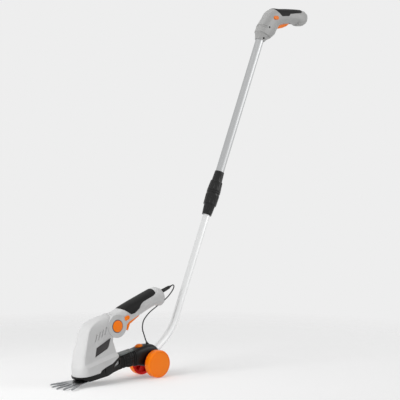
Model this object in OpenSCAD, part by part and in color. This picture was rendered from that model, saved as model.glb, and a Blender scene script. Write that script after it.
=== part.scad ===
// Cordless grass shears carried by a two-wheel trolley, with a telescopic pole and a second handle.
// Millimetres. The origin lies on the ground under the wheel axle, the blades point to -X,
// the pole leans to +X and the left side is -Y.

/* [Wheels] */
// Wheel diameter
wheel_d = 70; // [50:1:100]
// Wheel width
wheel_w = 21; // [14:0.5:30]
// Distance between the middles of the two wheels
wheel_track = 66.6; // [62:0.2:90]
// Rounding of the wheel's rim
wheel_edge = 4; // [1:0.5:6]
// Axle diameter
axle_d = 6; // [4:0.5:8]

/* [Pole] */
// Outer diameter of the lower, inner tube
inner_tube_d = 19; // [16:0.5:22]
// Wall of both tubes
tube_wall = 1.2; // [0.8:0.1:2]
// Gap between the inner tube and the outer tube
tube_gap = 0.8; // [0.4:0.1:1.5]
// Lean of the straight pole from the vertical
pole_lean = 22.5; // [10:0.5:35]
// Lean of the tube where it enters the trolley
entry_lean = 52; // [40:0.5:60]
// Radius of the tube's bend at its middle line
bend_r = 150; // [100:5:220]
// Straight length of the lower tube between the trolley and its bend
entry_run = 20; // [10:1:30]
// Straight length of the lower tube above its bend
inner_run = 560; // [520:5:640]
// Length of the upper tube
outer_len = 500; // [480:5:560]

/* [Clamp] */
// Place of the clamp's lower end along the straight pole
clamp_at = 288; // [250:1:320]
// Length of the twist nut
nut_len = 60.5; // [50:0.5:80]
// Length of the fixed sleeve
sleeve_len = 64.5; // [50:0.5:80]
// Largest diameter of the clamp
clamp_d = 37.5; // [34:0.5:44]
// Diameter of the clamp's two ends
clamp_end_d = 25.8; // [25.5:0.1:30]

/* [Trolley] */
// Half width of the wheel block
block_half_w = 20; // [18:0.5:21]
// Depth of the tube's socket in the block
socket_depth = 40; // [25:1:42]
// Diameter of the release button
release_d = 20; // [14:0.5:24]
// Travel of the release button
release_travel = 3; // [1:0.5:4]
// Diameter of the arm's spigot in the barrel
spigot_d = 20; // [14:0.5:22]
// Length of the arm's spigot
spigot_len = 30; // [15:1:34]

/* [Cutting head] */
// Tilt of the cutting head, blades down
head_tilt = 8.5; // [5:0.5:12]
// Blade pivot behind the front of the head
pivot_x = 24; // [20:0.5:30]
// Half width of the foot
foot_half_w = 32.5; // [30:0.5:36]
// Wall of the moulded housings
wall = 2.5; // [1.8:0.1:3]
// Thickness of each blade
blade_t = 1.6; // [1:0.1:2.5]
// Number of teeth on the blades
teeth = 5; // [3:2:7]
// Radius from the blade pivot to the tooth tips
tip_r = 89; // [80:1:100]
// Diameter of the blade pivot
blade_pin_d = 6; // [4:0.5:8]
// Offset of the crank pin from the gear's axis
crank = 2.6; // [1.5:0.1:3]
// Teeth on the large gear
gear_teeth = 40; // [30:1:50]
// Teeth on the motor pinion
pinion_teeth = 10; // [8:1:14]
// Gear module
gear_module = 0.8; // [0.6:0.05:1]
// Motor can diameter
motor_d = 32; // [24:1:36]
// Motor can length
motor_len = 52; // [40:1:60]

/* [Tool handle] */
// Radius of the round hub that the handle turns on
hub_r = 29; // [28:0.5:33]
// Half width of the hub
hub_half_w = 24; // [22:0.5:26]
// Outer diameter of the hub's pivot sleeve
sleeve_d = 16; // [12:0.5:18]
// Diameter of the round lock button on the hub
hub_button_d = 29; // [22:0.5:32]
// Travel of the hub's lock button
hub_button_travel = 2.5; // [1:0.5:3]
// Battery cell diameter
cell_d = 18; // [14:0.5:18.5]
// Battery cell length
cell_len = 65; // [50:1:66]

/* [Triggers and buttons] */
// Thickness of both triggers
trigger_w = 12; // [8:0.5:14]
// Diameter of the trigger hinge pins
trigger_pin_d = 4; // [3:0.5:5]
// Length of the lock-off buttons
lock_len = 17; // [12:0.5:19]
// Height of the lock-off buttons
lock_h = 10; // [6:0.5:11]
// How far a lock-off button stands out of its housing
lock_proud = 2.2; // [1:0.1:3]

/* [Clearances] */
// Gap around turning and sliding fits
running = 0.06; // [0.02:0.01:0.1]
// Gap between loose neighbours
loose = 0.3; // [0.2:0.05:0.5]
// Height of the soft grips above the housing
grip_proud = 0.6; // [0.3:0.1:1]
// Depth of the soft grips in the housing
grip_depth = 1.2; // [0.8:0.1:1.6]

/* [Hidden] */
$fn = 64;
across = 5 * block_half_w;

// Colours of the materials
light_grey = "#c9cbcc";
soft_black = "#2b2b2d";
hard_black = "#1f1f21";
dark_grey = "#4b4e50";
bright_orange = "#f58220";
bare_metal = "#c4c7ca";
dark_metal = "#8b8f93";

// Directions and places of the pole, in the middle plane
pole_dir = [sin(pole_lean), cos(pole_lean)];
entry_dir = [sin(entry_lean), cos(entry_lean)];
tube_mouth = [28, 71.9];
bend_angle = entry_lean - pole_lean;
bend_stretch = 0.1;
bend_start = tube_mouth + entry_run * entry_dir;
bend_centre = bend_start + bend_r * [-entry_dir[1], entry_dir[0]];
bend_end = bend_centre - bend_r * [-pole_dir[1], pole_dir[0]];
outer_tube_d = inner_tube_d + 2 * (tube_gap + tube_wall);
outer_from = clamp_at + nut_len + 3;
outer_to = outer_from + outer_len;
tube_screw_depth = 30;
upper_at = bend_end + outer_to * pole_dir;

// Wheel places along the axle
wheel_r = wheel_d / 2;
wheel_in = wheel_track / 2 - wheel_w / 2;
wheel_out = wheel_track / 2 + wheel_w / 2;
cap_t = 2.2;
cap_r = wheel_r - wheel_edge - 0.1;
hub_out = wheel_out - 6;
clip_t = 1;
clip_groove = 0.5;
axle_half = hub_out + 2.6;

// Cutting head: its own frame has X along the blades to the rear and Z square to them
head_x = -224;
ground_reach = 65;
head_z = ground_reach * sin(head_tilt);
seam_z = 14.5;
blade_base_z = 0;
moving_z = blade_base_z + blade_t + running;
foot_low = blade_base_z + blade_t;
pocket_z = moving_z + blade_t + 0.9;
crank_x = pivot_x + 21;
gear_r = gear_module * gear_teeth / 2;
pinion_r = gear_module * pinion_teeth / 2;
motor_x = crank_x + gear_r + pinion_r;
gear_low = 29;
plate_from = 14;
plate_len = 78;
plate_half_w = foot_half_w - 6;
gear_t = 6;
plate_low = gear_low + gear_t + 1;
plate_t = 3;
crank_hub_r = 6;
crank_pin_r = 3;
crank_boss_r = crank_hub_r + 3;
tooth_step = 15.5;
blade_swing = 6;
foot_rear = 61;

// Hub of the tool handle, in the middle plane
hub = [-121, 140];
tongue_half_w = 12;
tongue_r = hub_r - 5;
tongue_half_h = 11;
stop_gap = 1.5;
seat_gap = 0.6;
handle_rise = 20.8;
handle_swing = 20;
hub_button_back = 18;
recess_floor = hub_button_back - hub_button_travel - 0.5;

// Moulded forms as stations. Body: height, slope to the rear, front, rear, half width, nose depth
body_stations = [
    [seam_z, 0, -7, 114, foot_half_w, 26, 2.2], [33, 0.1, -5, 114, foot_half_w, 24, 2.3],
    [38, 0.1, -2.5, 111.5, 29.8, 18, 2.6], [42.5, 0.1, 0.5, 109.5, 27.4, 13, 3], [61, 0.05, 7, 107, 26.2, 9.5],
    [79, 0.02, 14.5, 104, 25.2, 9.5], [91, 0, 20, 107, 24.6, 9.5], [109, 0, 27, 119, 23.6, 9.5],
    [120, 0, 32, 124, 23, 10], [127, 0, 38, 126, 22, 11.5], [132, 0, 46, 126, 20.8, 13],
    [136.5, 0, 55.5, 126, 19, 16], [140.5, 0, 68, 126, 16, 18], [143.5, 0, 81, 126, 11.5, 18],
    [145.5, 0, 97, 126, 5, 16]
];
body_power = 4.2;
body_rear_depth = 8;

// Tool handle: top point, bottom point, half width
handle_stations = [
    [[-131, 171], [-122, 118], hub_half_w], [[-118, 174.5], [-106, 120], 23.5],
    [[-104, 181], [-92, 127], 22.5], [[-90, 187.5], [-75, 144], 22], [[-63, 198.5], [-47, 156], 21.5],
    [[-30, 211], [-14, 170.5], 21.5], [[0, 222.3], [14.5, 182], 21.5], [[9, 225.8], [24, 178.6], 21.5],
    [[19, 227.8], [32.5, 178.4], 21.5], [[28, 224.8], [39, 183.6], 20.5], [[34.5, 218.5], [41.5, 192], 17]
];
handle_power = 2.5;
grip_gap = 0.22;
post_inset = grip_depth + 0.4;
cell_at = [-7.5, 195.4];

// Upper handle from the top end of the upper tube: front or top point, rear or bottom point, half width
upper_stations = [
    [[-25.5, -27.9], [-1.7, -37.7], 13.2], [[-24.3, -16.5], [9, -30.5], 16],
    [[-24.6, -7.3], [18.6, -26.7], 17.6], [[-25.3, -6.2], [19.9, -26.4], 18.8],
    [[-19.2, 5.8], [37.4, -14.2], 20.2], [[-8.9, 21], [44.1, -2.4], 20.8], [[0.1, 31.3], [50.1, 5.3], 20.8],
    [[11.1, 47.3], [54.1, 12.3], 20.8], [[23.1, 56.8], [63.1, 16.3], 20.5], [[36.1, 61.8], [72.1, 18.8], 20.3],
    [[54.1, 62.1], [87.1, 21.8], 20], [[84.1, 65.1], [102.1, 24.3], 20], [[112.1, 67.1], [120.1, 25.6], 20],
    [[128.1, 68.1], [131.1, 25.9], 20], [[130.1, 68.2], [133.6, 22.5], 20.2],
    [[144.1, 68.7], [144.1, 21.9], 20.3], [[157.1, 67.5], [156.1, 23.5], 19.8],
    [[167.1, 62.5], [165.1, 28.8], 17], [[172.6, 55.3], [170.1, 37.8], 11]
];

// Trolley: place along X, bottom, top, half width
trolley_stations = [
    [-106, 34, 58, 15], [-102, 31.5, 62, 17.5], [-79, 32, 67.5, 19], [-77, 31, 68.8, 20],
    [-74.5, 31.2, 69.2, 20], [-73, 32.2, 68.7, 19], [-71.5, 31.4, 69.9, 20], [-69, 31.6, 70.3, 20],
    [-67, 32.8, 69.8, 19], [-60, 33.5, 72, 19.5], [-56, 33, 73.8, block_half_w],
    [-40, 31.5, 78.5, block_half_w], [-20, 27, 83.5, block_half_w], [-6, 24.5, 83.5, block_half_w],
    [3, 26, 82, block_half_w], [12, 33, 76.5, block_half_w], [21, 44, 67, 17]
];
trolley_power = 4;

// Soft grip outlines from the side
handle_grip_outline = [
    [-117, 205], [-114, 186], [-96, 178.5], [-76, 166], [-64, 168], [-50, 178], [-43, 189.5],
    [-36, 195], [-2, 208.5], [5, 214], [3, 236], [-60, 230]
];
upper_grip_outline = [
    [28, 78], [35, 58], [50, 46], [58, 40], [86, 43.5], [93, 50.5], [137, 57.5], [143, 61.5], [146, 80]
];

// Triggers from the side, and where they hinge
tool_trigger_outline = [
    [-79, 148], [-79, 131], [-76.5, 125.5], [-73.5, 124], [-71.5, 131], [-67.5, 140], [-53, 149],
    [-38, 158], [-36.5, 164], [-42, 168], [-60, 162]
];
tool_trigger_hinge = [-42, 163];
tool_trigger_slot = [
    [-93, 118], [-84, 120], [-32, 152], [-32, 171], [-48, 171], [-62, 166.5], [-84, 156], [-93, 146]
];
upper_trigger_outline = [
    [49, 8.3], [54, 5.8], [72, 9.8], [90, 17], [96.5, 21.8], [101, 25.3], [103, 29.3], [98, 34.3], [70, 29.3],
    [52, 25.3]
];
upper_trigger_hinge = [97, 29.3];
upper_trigger_slot = [[42, -3.7], [108, 18.3], [108, 38.3], [74, 38.3], [43, 31.3]];

// Lock-off buttons and switches in the middle plane
tool_lock_at = [-90.5, 158];
upper_lock_at = [32, 33];
upper_lock_lean = 4;
tool_switch_at = [-66.6, 168.8];
upper_switch_at = [74, 40];
switch_size = [20, 8, 10];

// Release button on the trolley
release_at = [-35, 80];
release_lean = 14;
release_rise = 5.5;
release_flange = 1.2;
release_well = 14 + release_travel;
barrel_tilt = 8;
barrel_mouth = [-106, 46];

// Connecting cord: diameter and route from the gland to the plug
cord_d = 3.2;
cord_sides = 8;
gland_at = [-6, 82];
gland_lean = -26;
gland_rise = 6;
gland_r = 4;
plug_at = [37.1, 213.1];
plug_d = 9;
plug_len = 16;
relief_len = 12;
jack_d = 5.5;
socket_len = 13;
cord_start = [for (k = [0 : 2])
    (gland_rise + 4 * k) * [sin(gland_lean), 0, cos(gland_lean)] + [gland_at[0], 0, gland_at[1]]];
cord_stop = [for (k = [2 : -1 : 0])
    (plug_len + relief_len + 4 * k) * [cos(handle_rise), 0, sin(handle_rise)] + [plug_at[0], 0, plug_at[1]]];
cord_route = concat(cord_start, [
    [-16, 1, 107], [-19, 3, 119], [-18, 5, 130], [-12, 8, 142], [0, 12, 152], [17, 17, 162], [38, 22, 171],
    [52, 25, 177], [65, 26, 183], [76, 26, 190], [85, 25, 197], [92, 21, 207], [94.5, 15, 217], [91, 8, 225.5],
    [82, 2.5, 229]
], cord_stop);
cord_steps = 3;

// Turned value with its sign kept, for the rounded sections
function signed_power(v, e) = sign(v) * pow(abs(v), e);

// Half an oval section on the left side, or the whole one, from its top point to its bottom point
function oval(a, b, w, p, n, whole) =
    let (c = (a + b) / 2, h = (a - b) / 2)
    [for (i = [0 : whole ? 2 * n - 1 : n])
        let (t = 180 * i / n, k = signed_power(cos(t), 2 / p), s = signed_power(sin(t), 2 / p))
        [c[0] + h[0] * k, -w * s, c[1] + h[1] * k]];

// A station's section, moved in or out by d
function grown(st, d, p, n, whole) =
    let (u = (st[0] - st[1]) / norm(st[0] - st[1]))
    oval(st[0] + d * u, st[1] - d * u, st[2] + d, p, n, whole);

// Rings of a handle from its station list
function handle_rings(list, d, n, whole, from, to) =
    [for (k = [from : to]) grown(list[k], d, handle_power, n, whole)];

// Rings of the trolley
function trolley_rings(n) =
    [for (st = trolley_stations) oval([st[0], st[2]], [st[0], st[1]], st[3], trolley_power, n, false)];

// One ring of the body: rounded nose, straight sides, rounded rear
function body_ring(st, n, whole) =
    let (
        z = st[0], slope = st[1], front = st[2], rear = st[3], w = st[4], nose = st[5],
        e = 2 / (len(st) > 6 ? st[6] : body_power),
        ahead = [for (i = [0 : n]) [front + nose * (1 - pow(cos(90 * i / n), e)), -w * pow(sin(90 * i / n), e)]],
        behind = [for (i = [n : -1 : 0])
            [rear - body_rear_depth * (1 - pow(cos(90 * i / n), e)), -w * pow(sin(90 * i / n), e)]],
        half = concat(ahead, behind),
        other = [for (i = [2 * n : -1 : 1]) [half[i][0], -half[i][1]]],
        flat = whole ? concat(half, other) : half
    )
    [for (q = flat) [q[0], q[1], z + slope * (q[0] - front)]];

// A body station moved in by the wall: inwards on the sides, downwards under the roof
function body_inner(st, t) =
    let (roof = min(1, max(0, (st[0] - 111) / 25)))
    [st[0] - t * roof, st[1], st[2] + t * (1 - 0.6 * roof), st[3] - t, st[4] - t * (1 - 0.4 * roof), st[5],
        len(st) > 6 ? st[6] : body_power];

// Solid through a list of rings that all have the same number of points
module skin(rings) {
    count = len(rings[0]);
    last = len(rings) - 1;
    points = [for (ring = rings) each ring];
    sides = [for (r = [0 : last - 1]) for (j = [0 : count - 1])
        let (a = r * count + j, b = r * count + (j + 1) % count)
        each [[a, a + count, b + count], [a, b + count, b]]];
    first_cap = [for (j = [0 : count - 1]) j];
    last_cap = [for (j = [count - 1 : -1 : 0]) last * count + j];
    polyhedron(points = points, faces = concat(sides, [first_cap], [last_cap]));
}

// Tube of a round wire through a route, square at both ends
module wire(route, d, sides) {
    last = len(route) - 1;
    rings = [for (i = [0 : last])
        let (
            along = i == 0 ? route[1] - route[0] : i == last ? route[last] - route[last - 1]
                : route[i + 1] - route[i - 1],
            f = along / norm(along),
            up = abs(f[1]) > 0.9 ? [0, 0, 1] : [0, 1, 0],
            side = cross(f, up) / norm(cross(f, up)),
            top = cross(side, f)
        )
        [for (j = [0 : sides - 1]) route[i] + d / 2 * (cos(360 * j / sides) * side - sin(360 * j / sides) * top)]];
    skin(rings);
}

// Point on a smooth curve through four neighbouring route points
function smooth_point(a, b, c, d, t) =
    0.5 * (2 * b + (c - a) * t + (2 * a - 5 * b + 4 * c - d) * t * t + (3 * b - a - 3 * c + d) * t * t * t);

function smooth_route(route, steps) =
    let (last = len(route) - 1)
    concat(
        [for (i = [0 : last - 1]) for (k = [0 : steps - 1])
            smooth_point(route[max(0, i - 1)], route[i], route[i + 1], route[min(last, i + 2)], k / steps)],
        [route[last]]
    );

// Coil spring along +Z from the origin
module coil_spring(r, wire_d, length, turns) {
    per_turn = 8;
    steps = per_turn * turns;
    wire([for (i = [0 : steps])
        [r * cos(360 * i / per_turn), r * sin(360 * i / per_turn),
            wire_d / 2 + (length - wire_d) * i / steps]], wire_d, 6);
}

// Placing modules
module in_head() {
    translate([head_x, 0, head_z])
        rotate([0, -head_tilt, 0])
            children();
}

module on_pole(s) {
    translate([bend_end[0] + s * pole_dir[0], 0, bend_end[1] + s * pole_dir[1]])
        rotate([0, pole_lean, 0])
            children();
}

module at_side(place) {
    translate([place[0], 0, place[1]])
        rotate([90, 0, 0])
            children();
}

// Outline drawn in X and Z, thickened to both sides of the middle plane
module side_plate(outline, w) {
    rotate([90, 0, 0])
        linear_extrude(height = w, center = true)
            polygon(outline);
}

// A soft grip's outline from the side, just inside the edge of its recess
module grip_plate(outline) {
    rotate([90, 0, 0])
        linear_extrude(height = across, center = true)
            offset(delta = -grip_gap)
                polygon(outline);
}

module cross_rod(place, r, w) {
    at_side(place)
        cylinder(r = r, h = w, center = true);
}

module left_rod(place, r, from, to) {
    translate([place[0], -from, place[1]])
        rotate([90, 0, 0])
            cylinder(r = r, h = to - from);
}

module mirrored() {
    mirror([0, 1, 0])
        children();
}

// Wheels and axle

module wheel_section() {
    bore = axle_d / 2 + running;
    hub_in = block_half_w + loose;
    rim_r = wheel_r - wheel_edge - 3;
    translate([bore, hub_in])
        square([8 - bore, hub_out - hub_in]);
    translate([7, wheel_out - 12])
        square([rim_r - 6, 3]);
    translate([rim_r, wheel_in])
        square([3, wheel_w - cap_t]);
    translate([rim_r + 3 - 0.01, wheel_in + wheel_edge])
        square([wheel_edge + 0.01, wheel_w - 2 * wheel_edge]);
    for (u = [wheel_in + wheel_edge, wheel_out - wheel_edge])
        translate([rim_r + 3, u])
            intersection() {
                circle(r = wheel_edge);
                translate([-0.01, -wheel_edge])
                    square([wheel_edge + 0.01, 2 * wheel_edge]);
            }
}

module wheel_solid() {
    rim_r = wheel_r - wheel_edge - 3;
    translate([0, 0, wheel_r])
        rotate([90, 0, 0])
            union() {
                rotate_extrude()
                    wheel_section();
                for (a = [0 : 60 : 300])
                    rotate([0, 0, a])
                        translate([7.5, -1.2, wheel_in + 3])
                            cube([rim_r - 7, 2.4, wheel_out - 12 - wheel_in - 2.5]);
            }
}

module wheel_cap_solid() {
    translate([0, 0, wheel_r])
        rotate([90, 0, 0])
            translate([0, 0, wheel_out - cap_t])
                union() {
                    cylinder(r = cap_r, h = cap_t - 0.8);
                    translate([0, 0, cap_t - 0.8])
                        cylinder(r1 = cap_r, r2 = cap_r - 0.8, h = 0.8);
                }
}

module wheel_left() { color(bright_orange) wheel_solid(); }

module wheel_right() { color(bright_orange) mirrored() wheel_solid(); }

module wheel_cap_left() { color(bright_orange) wheel_cap_solid(); }

module wheel_cap_right() { color(bright_orange) mirrored() wheel_cap_solid(); }

module axle() {
    color(bare_metal)
        difference() {
            cross_rod([0, wheel_r], axle_d / 2, 2 * axle_half);
            for (side = [-1, 1])
                translate([0, side * (hub_out + loose + clip_t / 2), wheel_r])
                    rotate([90, 0, 0])
                        difference() {
                            cylinder(r = axle_d, h = clip_t, center = true);
                            cylinder(r = axle_d / 2 - clip_groove, h = clip_t + 1, center = true);
                        }
        }
}

module axle_clips() {
    color(dark_metal)
        for (side = [-1, 1])
            translate([0, side * (hub_out + loose + clip_t / 2), wheel_r])
                rotate([90, 0, 0])
                    difference() {
                        cylinder(r = axle_d / 2 + 2.5, h = clip_t - 0.1, center = true);
                        cylinder(r = axle_d / 2 - clip_groove + 0.05, h = clip_t, center = true);
                        translate([0, axle_d, 0])
                            cube([axle_d - 2, 2 * axle_d, clip_t], center = true);
                    }
}

// Trolley

module in_barrel() {
    translate([barrel_mouth[0], 0, barrel_mouth[1]])
        rotate([0, 90 - barrel_tilt, 0])
            children();
}

module at_release() {
    translate([release_at[0], 0, release_at[1]])
        rotate([0, -release_lean, 0])
            children();
}

module latch_shape(gap) {
    translate([-78.5, 0, 69])
        rotate([0, -10.5, 0])
            union() {
                translate([-18, -11 - gap, -3 - gap])
                    cube([37, 22 + 2 * gap, 5 + gap]);
                translate([-18, 0, -3 - gap])
                    cylinder(r = 11 + gap, h = 5 + gap);
            }
}

module tube_socket(gap) {
    translate([tube_mouth[0], 0, tube_mouth[1]])
        rotate([0, entry_lean, 0])
            translate([0, 0, -socket_depth])
                cylinder(r = inner_tube_d / 2 + gap, h = socket_depth + 30);
}

trolley_screw_places = [[-50, 42], [-12, 66], [-18, 36]];
screw_d = 3;
screw_head_d = 5.6;
screw_reach = 10;
head_from = 12;
boss_r = 4.5;

module trolley_half() {
    difference() {
        skin(trolley_rings(9));
        in_barrel()
            translate([0, 0, -5])
                cylinder(r = spigot_d / 2 + running, h = spigot_len + 6);
        tube_socket(running);
        cross_rod([0, wheel_r], axle_d / 2 + running, 60);
        latch_shape(0.1);
        at_release() {
            translate([0, 0, -release_well])
                cylinder(r = release_d / 2 + release_flange + loose, h = release_well - 4);
            translate([0, 0, -release_well])
                cylinder(r = release_d / 2 + loose, h = release_well + 20);
        }
        translate([gland_at[0], 0, gland_at[1]])
            rotate([0, gland_lean, 0])
                union() {
                    translate([0, 0, -8])
                        cylinder(r = gland_r + 0.05, h = 30);
                    cylinder(r = gland_r + 0.7, h = 30);
                }
    }
}

// Screws come from the right side: a clear hole and a sunk head there, a pilot hole on the left
module pilot_holes(places) {
    for (place = places)
        left_rod(place, screw_d / 2 + 0.02, -1, screw_reach + 0.5);
}

module head_holes(places) {
    for (place = places) {
        left_rod(place, screw_d / 2 + 0.2, -1, 40);
        left_rod(place, screw_head_d / 2 + 0.3, head_from, 40);
    }
}

module screws(places) {
    color(dark_metal)
        for (place = places)
            mirrored()
                union() {
                    left_rod(place, screw_d / 2, -screw_reach, head_from + 0.5);
                    left_rod(place, screw_head_d / 2, head_from, head_from + 2.2);
                }
}

module trolley_left() {
    color(hard_black)
        difference() {
            trolley_half();
            pilot_holes(trolley_screw_places);
        }
}

module trolley_right() {
    color(hard_black)
        mirrored()
            difference() {
                trolley_half();
                head_holes(trolley_screw_places);
            }
}

module trolley_screws() { screws(trolley_screw_places); }

module latch_plate() {
    color(dark_grey)
        difference() {
            latch_shape(0);
            translate([-70, 0, 72])
                rotate([0, -10.5, 0])
                    cube([9, 5, 6], center = true);
            for (k = [0 : 3])
                translate([-99 + 4 * k, 0, 67.5 + 0.75 * k])
                    rotate([0, -10.5, 0])
                        translate([0, 0, 1.5])
                            cube([1.2, 14, 2], center = true);
        }
}

module release_button() {
    dome_r = 13;
    color(bright_orange)
        at_release()
            union() {
                translate([0, 0, -4 - 2 - loose])
                    cylinder(r = release_d / 2 + release_flange, h = 2);
                translate([0, 0, -5])
                    cylinder(r = release_d / 2, h = 5 + release_rise - 3.6);
                intersection() {
                    translate([0, 0, release_rise - dome_r])
                        sphere(r = dome_r);
                    translate([0, 0, -2])
                        cylinder(r = release_d / 2, h = 2 * dome_r);
                }
            }
}

module release_spring() {
    color(bare_metal)
        at_release()
            translate([0, 0, -release_well + 0.1])
                coil_spring(6, 1.2, release_well - 6 - loose - 0.2, 4);
}

arm_outline = [
    [-164, 19.5], [-151, 21.5], [-135, 26.5], [-113, 30.5], [-107, 33], [-107, 60], [-115, 68.5],
    [-142, 49.5], [-164, 42.2]
];
arm_window = [[-135, 38.5], [-113.5, 57], [-110, 53.5], [-110, 44.5], [-119, 41.5]];
arm_half_front = 32;
arm_half_rear = 20;
arm_cheek = 4.5;
arm_wall = 3;
arm_joint = 0.9;
arm_rear = barrel_mouth[0] - loose;
arm_yaw = atan((arm_half_front - arm_half_rear) / (arm_outline[5][0] - arm_outline[0][0]));

// Half of the clear width between the arm's cheeks
function arm_inner(x) = arm_half_front - arm_cheek / cos(arm_yaw) - (x - arm_outline[0][0]) * tan(arm_yaw);

module arm_cheek_solid() {
    translate([arm_outline[0][0], -arm_half_front, 0])
        rotate([0, 0, arm_yaw])
            translate([-arm_outline[0][0], arm_cheek / 2, 0])
                difference() {
                    side_plate(arm_outline, arm_cheek);
                    side_plate(arm_window, arm_cheek + 1);
                }
}

module trolley_arm() {
    front = arm_outline[0][0];
    color(hard_black)
        union() {
            difference() {
                union() {
                    arm_cheek_solid();
                    mirrored()
                        arm_cheek_solid();
                    translate([front, -28, 20.5])
                        cube([6, 56, 20]);
                    translate([front + 3, -24, 21.5])
                        rotate([0, -12, 0])
                            cube([56, 48, 4]);
                    translate([arm_rear - arm_wall, -18, 34])
                        cube([arm_wall, 36, 24]);
                }
                translate([arm_rear, -across / 2, 0])
                    cube([20, across, across]);
                in_head()
                    translate([0, -across / 2, -20])
                        cube([foot_rear + arm_joint, across, 60]);
            }
            in_barrel()
                translate([0, 0, -3])
                    cylinder(r = spigot_d / 2, h = spigot_len + 3);
        }
}

// Pole

// Cross-section of the lower tube: the bend is drawn out by a hair where the straight runs enter it
module tube_ring(stretch) {
    difference() {
        circle(r = inner_tube_d / 2 + stretch);
        circle(r = inner_tube_d / 2 + stretch - tube_wall);
    }
}

module lower_tube() {
    color(bare_metal)
        translate([bend_centre[0], 0, bend_centre[1]]) {
            rotate([0, entry_lean, 0])
                translate([bend_r, 0, 1 - socket_depth - entry_run])
                    linear_extrude(height = socket_depth + entry_run)
                        tube_ring(0);
            rotate([90, 0, 0])
                rotate([0, 0, -entry_lean])
                    rotate_extrude(angle = bend_angle)
                        translate([bend_r, 0])
                            tube_ring(bend_stretch);
            rotate([0, pole_lean, 0])
                translate([bend_r, 0, -1])
                    linear_extrude(height = inner_run + 1)
                        tube_ring(0);
        }
}

module tube_bush() {
    color(hard_black)
        on_pole(inner_run) {
            translate([0, 0, -18])
                cylinder(r = inner_tube_d / 2 - tube_wall - running, h = 19);
            cylinder(r = outer_tube_d / 2 - tube_wall - running, h = 12);
        }
}

module upper_tube() {
    color(bare_metal)
        on_pole(outer_from)
            difference() {
                cylinder(r = outer_tube_d / 2, h = outer_len);
                translate([0, 0, -1])
                    cylinder(r = outer_tube_d / 2 - tube_wall, h = outer_len + 2);
                translate([0, 0, outer_len - tube_screw_depth])
                    rotate([90, 0, 0])
                        cylinder(r = screw_d / 2 + 0.2, h = 2 * outer_tube_d, center = true);
            }
}

collet_r = inner_tube_d / 2 + 2.6;
collet_from = 14;
nose_r = clamp_d / 2 - 4;
nose_len = 24;
cone_len = 29;
flute_r = 3;

module clamp_collet() {
    color(dark_grey)
        on_pole(clamp_at)
            difference() {
                translate([0, 0, collet_from + loose])
                    cylinder(r = collet_r, h = nut_len - nose_len - collet_from - 2 * loose);
                cylinder(r = inner_tube_d / 2 + running, h = nut_len);
                for (a = [0, 90])
                    rotate([0, 0, a])
                        translate([-collet_r - 1, -0.6, 0])
                            cube([2 * collet_r + 2, 1.2, nut_len - nose_len - 6]);
            }
}

// Grip flutes along a cone, as deep as told
module flutes(from, to, r_from, r_to, depth) {
    slope = atan((r_to - r_from) / (to - from));
    for (a = [15 : 30 : 345])
        rotate([0, 0, a])
            translate([r_from + flute_r - depth, 0, from])
                rotate([0, slope, 0])
                    cylinder(r = flute_r, h = (to - from) / cos(slope));
}

module clamp_nut() {
    cone_r = clamp_d / 2 - 3.4;
    skirt_r = clamp_d / 2 - 1;
    color(hard_black)
        on_pole(clamp_at)
            difference() {
                union() {
                    cylinder(r1 = clamp_end_d / 2, r2 = cone_r, h = cone_len);
                    translate([0, 0, cone_len])
                        cylinder(r1 = skirt_r, r2 = clamp_d / 2, h = nut_len - cone_len - 2);
                    translate([0, 0, nut_len - 2])
                        cylinder(r = clamp_d / 2 - 1.2, h = 2);
                }
                flutes(collet_from - 8, cone_len - 3, clamp_end_d / 2 + 0.5, cone_r - 0.3, 0.6);
                flutes(cone_len + 3, nut_len - 6, skirt_r + 0.1, clamp_d / 2 - 0.1, 1);
                translate([0, 0, -1])
                    cylinder(r = inner_tube_d / 2 + loose, h = nut_len);
                translate([0, 0, collet_from])
                    cylinder(r = collet_r + loose, h = nut_len);
                translate([0, 0, nut_len - nose_len - loose])
                    cylinder(r = nose_r + running, h = nut_len);
            }
}

module clamp_sleeve() {
    cone_r = clamp_d / 2 - 4.4;
    skirt_r = clamp_d / 2 - 2.2;
    skirt_to = sleeve_len - cone_len;
    color(hard_black)
        on_pole(clamp_at + nut_len + 0.4)
            difference() {
                union() {
                    translate([0, 0, -nose_len])
                        cylinder(r = nose_r, h = nose_len + 1);
                    cylinder(r = clamp_d / 2 - 1.2, h = 2.5);
                    translate([0, 0, 2.5])
                        cylinder(r = clamp_d / 2, h = 3);
                    translate([0, 0, 5.5])
                        cylinder(r = clamp_d / 2 - 1.4, h = 2);
                    translate([0, 0, 7.5])
                        cylinder(r1 = clamp_d / 2, r2 = skirt_r, h = skirt_to - 7.5);
                    translate([0, 0, skirt_to])
                        cylinder(r1 = cone_r, r2 = clamp_end_d / 2, h = cone_len);
                }
                flutes(12, skirt_to - 3, clamp_d / 2 - 0.3, skirt_r + 0.3, 1);
                flutes(skirt_to + 3, sleeve_len - 6, cone_r - 0.2, clamp_end_d / 2 + 0.4, 0.6);
                translate([0, 0, -nose_len - 1])
                    cylinder(r = inner_tube_d / 2 + loose, h = nose_len + 10);
                translate([0, 0, 3 - 0.4])
                    cylinder(r = outer_tube_d / 2 + running, h = sleeve_len);
            }
}

// Cutting head, in its own frame

under_cut = [[46.5, seam_z], [51, 20], [66, 24.6], [87, 28.6], [120, 46.5], [130, -10], [46.5, -10]];
under_floor = [
    [46.5, seam_z + 1], [49, 20 + wall], [65, 24.6 + wall], [86, 28.6 + wall], [120, 47.5 + wall], [130, -10],
    [46.5, -10]
];
vent_slots = 4;
vent_from = [52, 100];
vent_pitch = [10.5, 3.4];
vent_w = 3;
vent_len = 19;
vent_lean = 27;
panel_outline = [[48.5, 76], [94.5, 91], [86.5, 72.5], [81.5, 66.5], [40.5, 54]];
panel_lean = 3.6;
panel_t = 1.2;
panel_at = 25.6;
panel_fit = 0.99;

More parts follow.
